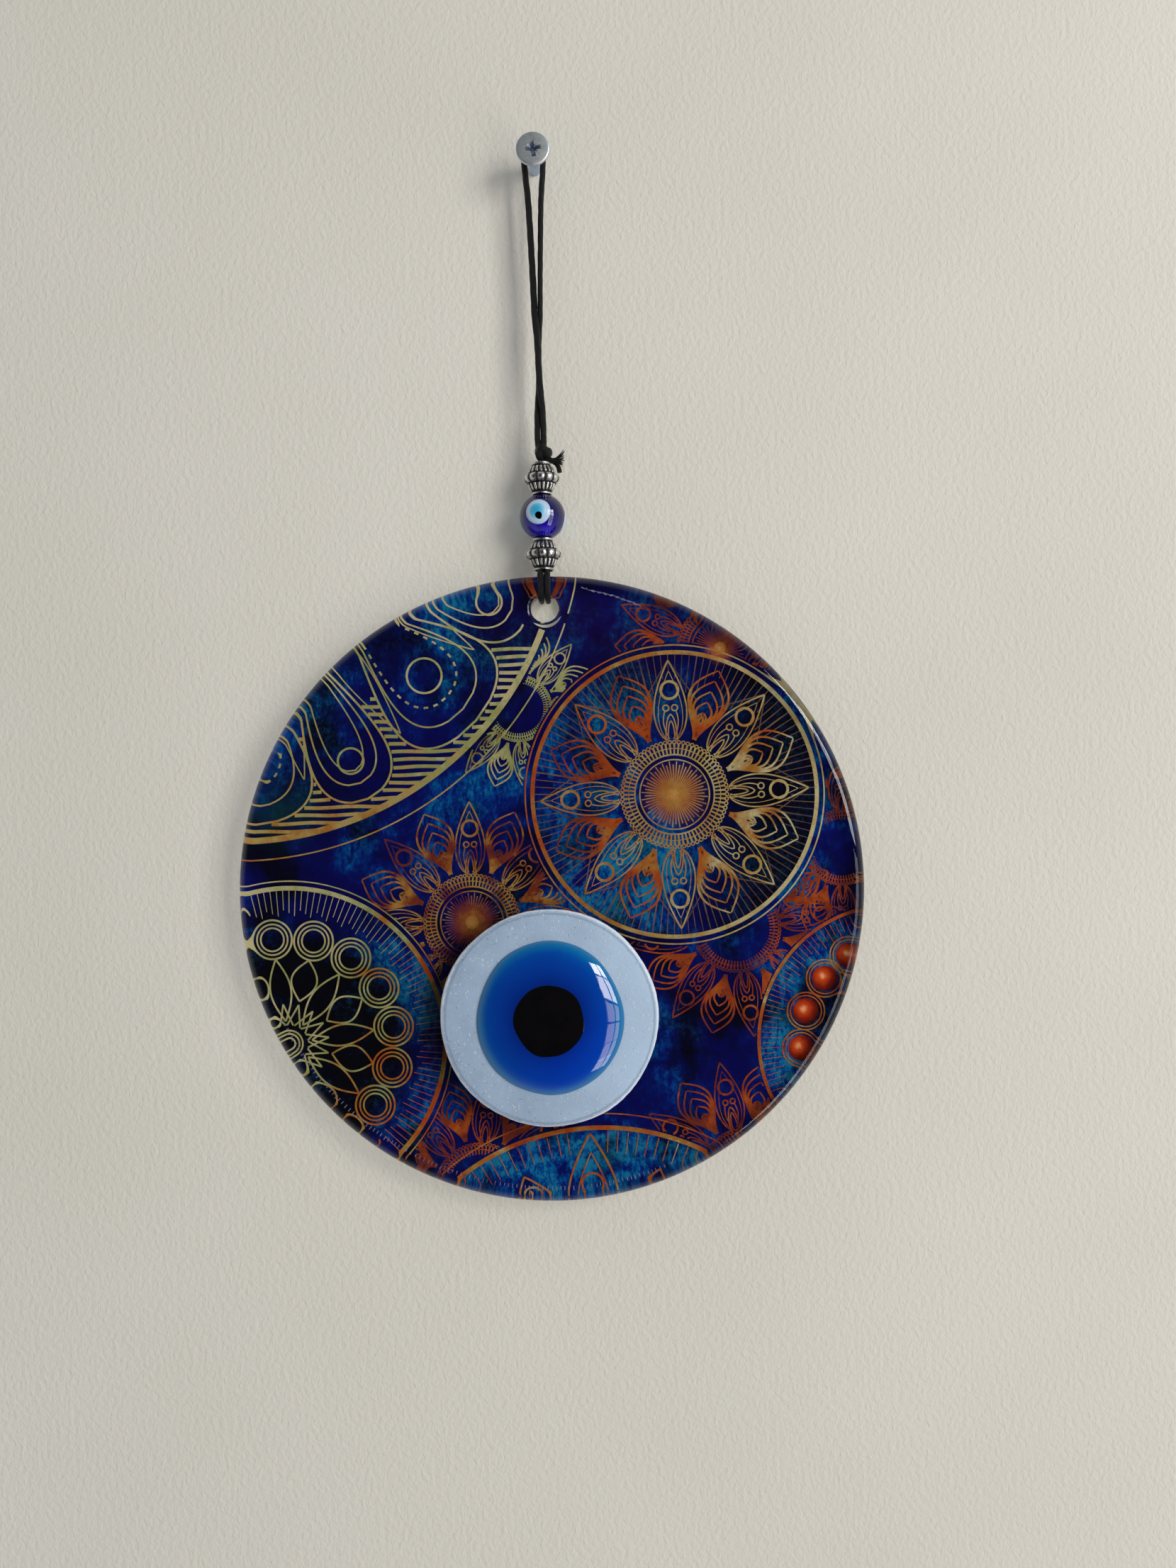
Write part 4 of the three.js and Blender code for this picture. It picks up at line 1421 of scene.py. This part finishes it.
def corner_rosette(material):
    def below_hole(u, v):
        return abs(u) > 5.5 or v < HOLE_AT[1] - HOLE_RADIUS
    ink = Ink("print_rosette", 6, material, below_hole)
    ink.ring(CORNER_ROSETTE, ROSETTE_RADIUS - 0.6, 1.5)
    ink.ring(CORNER_ROSETTE, ROSETTE_RADIUS + 4.1, 0.34)
    for i, (heading, tip, half_width) in enumerate(ROSETTE_PETALS):
        spoke = Spoke(CORNER_ROSETTE, heading)
        large = half_width > 12
        ink.line(spoke.shape(ROSETTE_ROOT, tip, half_width, teardrop, 60), 0.5)
        ink.line(spoke.shape(ROSETTE_ROOT, tip - 4.2, half_width * 0.72, teardrop, 56), 0.4)
        eyelet = spoke.at(tip - (16.5 if large else 10.0))
        ink.ring(eyelet, 4.2 if large else 3.1, 0.5)
        if large:
            ink.dashes(spoke.shape(ROSETTE_ROOT, tip - 9.0, half_width * 0.52, teardrop, 60), 1.1, 1.3, 0.5)
        else:
            ink.line(spoke.shape(ROSETTE_ROOT, tip - 7.5, half_width * 0.45, teardrop, 50), 0.32)
    for heading in (-31.0, -54.5, -77.0):
        spoke = Spoke(CORNER_ROSETTE, heading)
        ink.line(spoke.shape(ROSETTE_ROOT, 66.0, 3.4, pointed, 30), 0.3)
    ink.finish()

    def in_border(u, v):
        return (
            55.0 < away_from(CORNER_ROSETTE, u, v) < ROSETTE_RADIUS - 0.8
            and v < 58.0
            and not any(in_petal(u, v, petal, 0.4) for petal in ROSETTE_PETALS)
        )
    stripes = Ink("print_rosette_stripes", 7, material, in_border)
    for i in range(40):
        level = 6.0 + i * STRIPE_PITCH
        wave = [(-76.0 + 0.7 * k, level + 0.12 * math.sin(k * 0.31 + i)) for k in range(116)]
        stripes.line(wave, 0.85)
    stripes.finish()


def left_medallion(material):
    ink = Ink("print_left_medallion", 8, material)
    centre = LEFT_MEDALLION
    ink.ring(centre, LEFT_RADIUS, 1.1)
    ink.ring(centre, LEFT_RADIUS + 1.7, 0.3)
    for i, spoke in spokes(centre, 16, 8):
        for radius, width in ((4.7, 0.45), (3.7, 0.4), (2.8, 0.4)):
            ink.ring(spoke.at(25.4), radius, width)
        start = 10.5 if i % 2 else 5.5
        ink.line(spoke.shape(start, 20.6, 3.1 if i % 2 else 2.5, lens, 24), 0.42)
        for side in (-1.6, 1.6):
            ink.straight(spoke.at(4.2, side), spoke.at(9.6), 0.4)
    for radius in (1.4, 2.4, 3.2):
        ink.ring(centre, radius, 0.4)
    for i, spoke in spokes(centre, 150):
        ink.straight(spoke.at(30.8 + (i % 3) * 0.7), spoke.at(LEFT_RADIUS - 0.6), 0.16)
    ink.finish()


def right_medallion(material):
    ink = Ink("print_right_medallion", 9, material)
    centre = RIGHT_MEDALLION
    ink.ring(centre, RIGHT_RADIUS, 0.8)
    for i, spoke in spokes(centre, 150):
        ink.straight(spoke.at(27.2 + (i % 2) * 1.2), spoke.at(RIGHT_RADIUS - 0.7), 0.14)
    for jewel in JEWELS:
        for radius, width in ((4.5, 0.34), (3.75, 0.3)):
            ink.ring(jewel, radius, width)
    ink.finish()


def bottom_medallion(material):
    ink = Ink("print_bottom_medallion", 10, material)
    centre = BOTTOM_MEDALLION
    ink.ring(centre, BOTTOM_RADIUS, 1.1)
    ink.ring(centre, BOTTOM_RADIUS + 3.4, 0.3)
    for i, spoke in spokes(centre, 18, 12):
        tall = i % 2 == 0
        ink.line(spoke.shape(30.0, 54.6 if tall else 48.0, 6.0, pointed, 26), 0.46)
        ink.line(spoke.shape(30.0, 50.0 if tall else 44.5, 4.0, pointed, 26), 0.3)
        ink.ring(spoke.at(42.5), 2.6, 0.5)
    for i, spoke in spokes(centre, 140):
        from_petal = abs((360 * i / 140 + 8) % 40 - 20)
        if from_petal > 3.5:
            ink.straight(spoke.at(50.0), spoke.at(BOTTOM_RADIUS - 0.8), 0.2)
    ink.finish()


def fan_at_the_top(material):
    """Two broad strokes that spread upwards from the hole, with a thin one beside each."""
    ink = Ink("print_top_fan", 9, material)
    for side in (-1, 1):
        for start, end, width in ((2.2, 4.1, (0.7, 1.5)), (3.6, 5.7, (0.2, 0.4))):
            ink.line([
                (side * (start + (end - start) * (i / 8) ** 2), 69.4 + 4.2 * i / 8) for i in range(9)
            ], width)
    ink.finish()


def crease_and_nick_glints():
    """Pale strokes that paint the glint of light on a glue line near the top right, and on nicks along the
    trimmed edge at the lower left.
    """
    # Painted highlight: the pale lavender of these strokes is the glint of light on the crease and the nicks.
    material = ink_material("crease_glint_ink", [(0.2, (92, 84, 150)), (0.7, PAINTED_GLINT)], wear=0.8)
    rng = random.Random(19)
    ink = Ink("crease_and_nick_glints", 11, material)
    crease = []
    for i in range(61):
        heading = math.radians(83 - 12 * i / 60)
        away = 72.6 - 1.3 * i / 60 + rng.uniform(-0.16, 0.16)
        crease.append((away * math.cos(heading), away * math.sin(heading)))
    ink.line(crease, 0.16)
    for i in range(10, 58, 6):
        ink.line(crease[i : i + 4], 0.4)
    heading = 204.0
    while heading < 290.0:
        heading += rng.uniform(0.7, 1.0)
        spoke = Spoke((0.0, 0.0), heading)
        ink.straight(spoke.at(71.9), spoke.at(rng.uniform(72.6, 73.0)), 0.16)
    ink.finish()


def make_print():
    cream_side = ink_material(
        "ink_large_sun", [(0.0, ORANGE), (0.3, GOLD), (0.62, PALE_GOLD), (0.95, CREAM)],
        tilt=(0.011, -0.002), middle=(30.0, 20.0),
    )
    plum = ink_material(
        "ink_small_sun", [(0.1, PLUM), (0.42, RUST), (0.62, GOLD), (0.95, PALE_GOLD)], middle=SMALL_SUN,
    )
    rust = ink_material("ink_part_suns", [(0.1, PLUM), (0.4, RUST), (0.7, ORANGE), (0.95, GOLD)], wear=0.75)
    leaf = ink_material("ink_pale_sun", [(0.1, RUST), (0.4, LEAF), (0.9, CREAM)], wear=0.5)
    rosette = ink_material(
        "ink_rosette", [(0.0, ORANGE), (0.25, GOLD), (0.5, PALE_GOLD), (0.8, LEAF), (1.0, CREAM)],
        tilt=(0.004, 0.011), middle=(-50.0, 22.0), wear=0.3,
    )
    pale = ink_material(
        "ink_left_medallion", [(0.1, ORANGE), (0.32, GOLD), (0.55, LEAF), (0.9, CREAM)],
        tilt=(-0.012, 0.006), middle=(-50.0, -36.0), wear=0.35,
    )
    warm = ink_material("ink_edge_medallions", [(0.1, RUST), (0.42, ORANGE), (0.7, GOLD), (0.95, CREAM)])
    flames = ink_material(
        "ink_large_sun_flames", [(0.0, RUST), (0.35, ORANGE), (0.6, GOLD), (0.9, CREAM)],
        tilt=(0.013, -0.004), middle=(34.0, 20.0), wear=0.6,
    )
    faint = ink_material("ink_large_sun_rays", [(0.2, (64, 50, 70)), (0.7, (116, 88, 60))], wear=0.6)
    large_sun(cream_side, flames, faint)
    small_sun(plum)
    scattered_suns(rust, leaf)
    corner_rosette(rosette)
    left_medallion(pale)
    right_medallion(warm)
    bottom_medallion(warm)
    fan_at_the_top(rust)
    crease_and_nick_glints()


# ------------------------------------------------------------------ large eye


def eye_distance(shader, centre, squash=(1.0, 1.0)):
    """Distance from the eye's middle, seen from the front, in mm."""
    flat = shader.vector("MULTIPLY_ADD", shader.place(), (1, 0, 1), (-centre.x, 0, -centre.z))
    flat = shader.vector("MULTIPLY", flat, (squash[0], 0, squash[1]))
    return shader.vector("LENGTH", flat), flat


def both_ends(shader, value, low, high, most):
    """Rises from low to the middle and falls again to high."""
    middle = (low + high) / 2
    rise = shader.span(value, low, middle, 0.0, most)
    return shader.times(rise, shader.span(value, middle, high, 1.0, 0.0))


def milk_material():
    shader = Shader("milk_glass")
    place_mm = shader.place()
    away, _ = eye_distance(shader, EYE_CENTRE)
    cloud = shader.noise(place_mm, 0.08, 4.0, 0.6)
    base = shader.ramp(cloud, [(0.3, (142, 160, 182)), (0.7, (164, 184, 206))])
    specks = shader.span(shader.noise(place_mm, 1.7, 2.0, 0.5), 0.6, 0.74)
    colour = shader.mix(shader.times(specks, 0.6), base, (204, 214, 226))
    pits = shader.span(shader.noise(shader.vector("ADD", place_mm, (9, 9, 9)), 1.3, 2.0, 0.5), 0.64, 0.74)
    colour = shader.mix(shader.times(pits, 0.4), colour, (98, 112, 132))
    across, _, _ = shader.axes(place_mm)
    lit_side = shader.span(across, EYE_CENTRE.x - 6, EYE_CENTRE.x + 26, 0.0, 0.55)
    colour = shader.mix(lit_side, colour, (198, 220, 242))
    crinkle = shader.scaled(shader.noise(place_mm, 0.9, 3.0, 0.6), 0.5, -0.25)
    edge = shader.math("ADD", away, crinkle)
    shade = both_ends(shader, edge, WHITE_RADIUS - 1.5, WHITE_RADIUS - 0.55, 0.35)
    colour = shader.mix(shade, colour, (84, 92, 108))
    # Painted highlight: a bright line just inside the edge of the white glass, where the melted rim catches
    # the light.
    rim = shader.span(edge, WHITE_RADIUS - 0.5, WHITE_RADIUS - 0.25)
    colour = shader.mix(shader.times(rim, 0.85), colour, (226, 228, 236))
    ripple = shader.noise(place_mm, 0.35, 3.0, 0.5)
    height = shader.math("SUBTRACT", shader.scaled(ripple, 1.0, specks), pits)
    return shader.finished(
        Base_Color=colour,
        Roughness=0.13,
        IOR=1.5,
        Subsurface_Weight=0.12,
        Subsurface_Radius=(0.8, 0.9, 1.0),
        Subsurface_Scale=0.0012,
        Normal=shader.bump(height, 0.05),
    )


def iris_material(centre, radius):
    shader = Shader("iris_glass")
    away, flat = eye_distance(shader, centre, (1.03, 0.97))
    wave = shader.scaled(shader.noise(flat, 0.09, 3.0), 3.0, -1.5)
    edge_wave = shader.scaled(shader.noise(flat, 0.3, 2.0), 0.9, -0.45)
    depth = shader.span(shader.math("ADD", away, wave), radius * 0.35, radius * 0.97, smooth=False)
    colour = shader.ramp(depth, [
        (0.0, (0, 22, 96)), (0.35, (0, 44, 134)), (0.7, (0, 60, 152)), (1.0, (0, 84, 164)),
    ])
    across, _, up = shader.axes(flat)
    # Painted light: the iris turns a brighter blue towards its lower right.
    low_right = shader.math("SUBTRACT", shader.times(across, 0.6), up)
    painted_light = shader.times(shader.span(low_right, 0.0, 18.0), 0.5)
    colour = shader.mix(painted_light, colour, (0, 50, 176))
    rim = shader.span(shader.math("ADD", away, edge_wave), radius - 2.6, radius - 0.2)
    colour = shader.mix(shader.times(rim, 0.8), colour, (16, 112, 160))
    return shader.finished(
        Base_Color=colour,
        Roughness=0.04,
        IOR=1.5,
        Coat_Weight=0.6,
        Coat_Roughness=0.02,
        Normal=shader.bump(shader.noise(shader.place(), 0.15, 2.0), 0.12),
    )


def pupil_material():
    shader = Shader("pupil_glass")
    depth = shader.noise(shader.place(), 0.2, 3.0)
    return shader.finished(
        Base_Color=shader.ramp(depth, [(0.3, (3, 3, 6)), (0.7, (9, 6, 8))]),
        Roughness=0.04,
        IOR=1.5,
        Coat_Weight=0.5,
        Coat_Roughness=0.02,
        Normal=shader.bump(depth, 0.12),
    )


def melted_disc(name, centre, rings, material, wobble, squash=(1.0, 1.0), seed=0.0, crinkle=0.0):
    """A piece of melted glass from rings of radius, y and how much of the wobble they take."""
    around = 240
    vertices = []
    for radius, y, share in rings:
        for angle in turn_angles(around):
            slow = noise.noise((math.cos(angle) * 1.6, math.sin(angle) * 1.6, seed))
            fine = noise.noise((math.cos(angle) * 24, math.sin(angle) * 24, seed + 5))
            r = radius + share * (wobble * slow + crinkle * fine)
            vertices.append((
                centre.x + r * squash[0] * math.sin(angle), y, centre.z + r * squash[1] * math.cos(angle)
            ))
    return new_mesh(name, vertices, capped_rings(len(rings), around), material)


def make_large_eye():
    front, back = white_low.y, white_high.y
    edge = (back - front) / 2
    rings = [(0.3, front, 0.0)]
    for i in range(1, 12):
        share = i / 12
        rings.append(((WHITE_RADIUS - edge) * share, front + 0.1 * share ** 4, share ** 3))
    for i in range(13):
        angle = math.pi * i / 12
        radius = WHITE_RADIUS - edge + edge * math.sin(angle)
        rings.append((radius, back - edge - edge * math.cos(angle) + 0.1 * math.cos(angle / 2), 1.0))
    rings.append((0.3, back, 0.0))
    white = melted_disc("eye_disc_white", EYE_CENTRE, rings, milk_material(), 0.35, seed=3.0, crinkle=0.07)
    place(white, "disc", ["eye_white"])

    low, high = node_box("eye_iris")
    centre = (low + high) / 2
    radius = (high.x - low.x) / 2
    apex = low.y

    def dome(r):
        share = min(1.0, r / radius)
        return high.y - (high.y - apex) * max(0.0, 1 - share ** 2.3) ** 0.68

    rings = [(0.2, apex, 0.0)]
    for i in range(1, 33):
        share = math.sin(math.pi / 2 * i / 32)
        rings.append((radius * share, dome(radius * share), share ** 2))
    rings.append((0.2, high.y + 0.05, 0.0))
    squash = (0.985, 1.02)
    iris = melted_disc("eye_dome_iris", centre, rings, iris_material(centre, radius), 0.5, squash, 9.0)
    place(iris, "disc", ["eye_iris"])

    low, high = node_box("eye_pupil")
    centre = (low + high) / 2
    radius = (high.x - low.x) / 2
    proud = 0.16
    rings = [(0.2, dome(0) - proud - 0.12, 0.0)]
    for i in range(1, 21):
        share = math.sin(math.pi / 2 * i / 20)
        lift = proud * (1 - 0.5 * share ** 8) + 0.12 * (1 - share ** 2)
        rings.append((radius * share, dome(radius * share) - lift, share ** 2))
    rings.append((radius - 0.1, dome(radius) + 0.25, 1.0))
    rings.append((0.2, dome(radius) + 0.25, 0.0))
    pupil = melted_disc("eye_dome_pupil", centre, rings, pupil_material(), 0.3, squash, 21.0)
    place(pupil, "disc", ["eye_pupil"])


# ------------------------------------------------------------------ wall and light


def make_wall():
    """A painted wall, seen only from the front."""
    size = 1200.0
    corners = [(-size, 0, -size), (size, 0, -size), (size, 0, size), (-size, 0, size)]
    wall = new_mesh("wall", corners, [(0, 1, 2, 3)])
    shader = Shader("wall_paint")
    place_mm = shader.place()
    stretched = shader.vector("MULTIPLY", place_mm, (1.0, 1.0, 0.75))
    roller = shader.noise(stretched, 0.85, 4.0, 0.55, 0.3)
    patches = shader.noise(place_mm, 0.01, 3.0)
    paint = shader.principled(
        Base_Color=shader.ramp(patches, [(0.3, (210, 206, 195)), (0.7, (216, 212, 202))]),
        Roughness=0.75,
        Specular_IOR_Level=0.25,
        Normal=shader.bump(roller, 0.3),
    )
    back = shader.node("NewGeometry").outputs["Backfacing"]
    shader.clear_where(shader.math("MAXIMUM", shader.shadow_ray(), back), paint)
    wall.data.materials.append(shader.material)


def area_light(name, place_m, target_m, size, power, colour):
    data = bpy.data.lights.new(name, "AREA")
    data.shape = "RECTANGLE"
    data.size, data.size_y = size
    data.energy = power
    data.color = colour
    lamp = bpy.data.objects.new(name, data)
    facing = (Vector(target_m) - Vector(place_m)).to_track_quat("-Z", "Y")
    lamp.matrix_world = Matrix.Translation(Vector(place_m)) @ facing.to_matrix().to_4x4()
    bpy.context.scene.collection.objects.link(lamp)


def make_lights():
    """A tall window in twelve panes on the right, with the sky in the top ones, and a lamp behind."""
    target = DISC_CENTRE * MM
    heading = math.radians(46)
    distance = 1.5
    middle = target + Vector((math.sin(heading), -math.cos(heading), 0.0)) * distance
    facing = (target - middle).to_track_quat("-Z", "Y")
    pane = (0.3, 0.34)
    gap = 0.05
    for column in (-0.5, 0.5):
        for row, power in enumerate((4.0, 2.6, 0.8, 0.8, 0.9, 1.2)):
            offset = Vector((column * (pane[0] + gap), (1.5 - row) * (pane[1] + gap), 0))
            area_light("window_pane", middle + facing @ offset, target, pane, power, (1.0, 0.985, 0.95))
    area_light("back_light", (-0.3, 0.9, 0.1), target, (0.8, 0.8), 5.0, (1.0, 0.99, 0.97))


def make_world():
    """Pale surroundings, with the dark room that lies behind the viewer at the front."""
    world = bpy.data.worlds.new("surroundings")
    bpy.context.scene.world = world
    world.use_nodes = True
    world.cycles.sampling_method = "NONE"
    nodes = Nodes(world.node_tree, "OutputWorld")
    direction = nodes.node("TexCoord").outputs["Generated"]
    ray = nodes.node("LightPath").outputs
    strength = nodes.span(nodes.vector("DOT_PRODUCT", direction, (0, -1, 0)), 0.2, 0.7, 0.5, 0.03)
    strength = nodes.pick(ray["Is Diffuse Ray"], strength, 0.47)
    strength = nodes.pick(ray["Is Camera Ray"], strength, 0.75)
    pale = nodes.node("Background")
    nodes.feed(pale.inputs["Color"], (0.86, 0.88, 0.92, 1))
    nodes.feed(pale.inputs["Strength"], strength)
    nodes.surface(pale)


# ------------------------------------------------------------------ making

make_camera()
cord = cord_material()
knot = make_knot(cord)
tails = make_tails(cord)
make_loop(cord)
make_bights(cord)
silver = silver_material()
make_spacer("spacer_upper", "upper_spacer", "upper_bead", silver, 2.0)
make_spacer("spacer_lower", "lower_spacer", "lower_bead", silver, 31.0)
make_eye_bead()
make_screw()
make_disc()
make_film()
make_print()
make_large_eye()
make_wall()
make_lights()
make_world()
bpy.context.scene.view_settings.view_transform = "Standard"
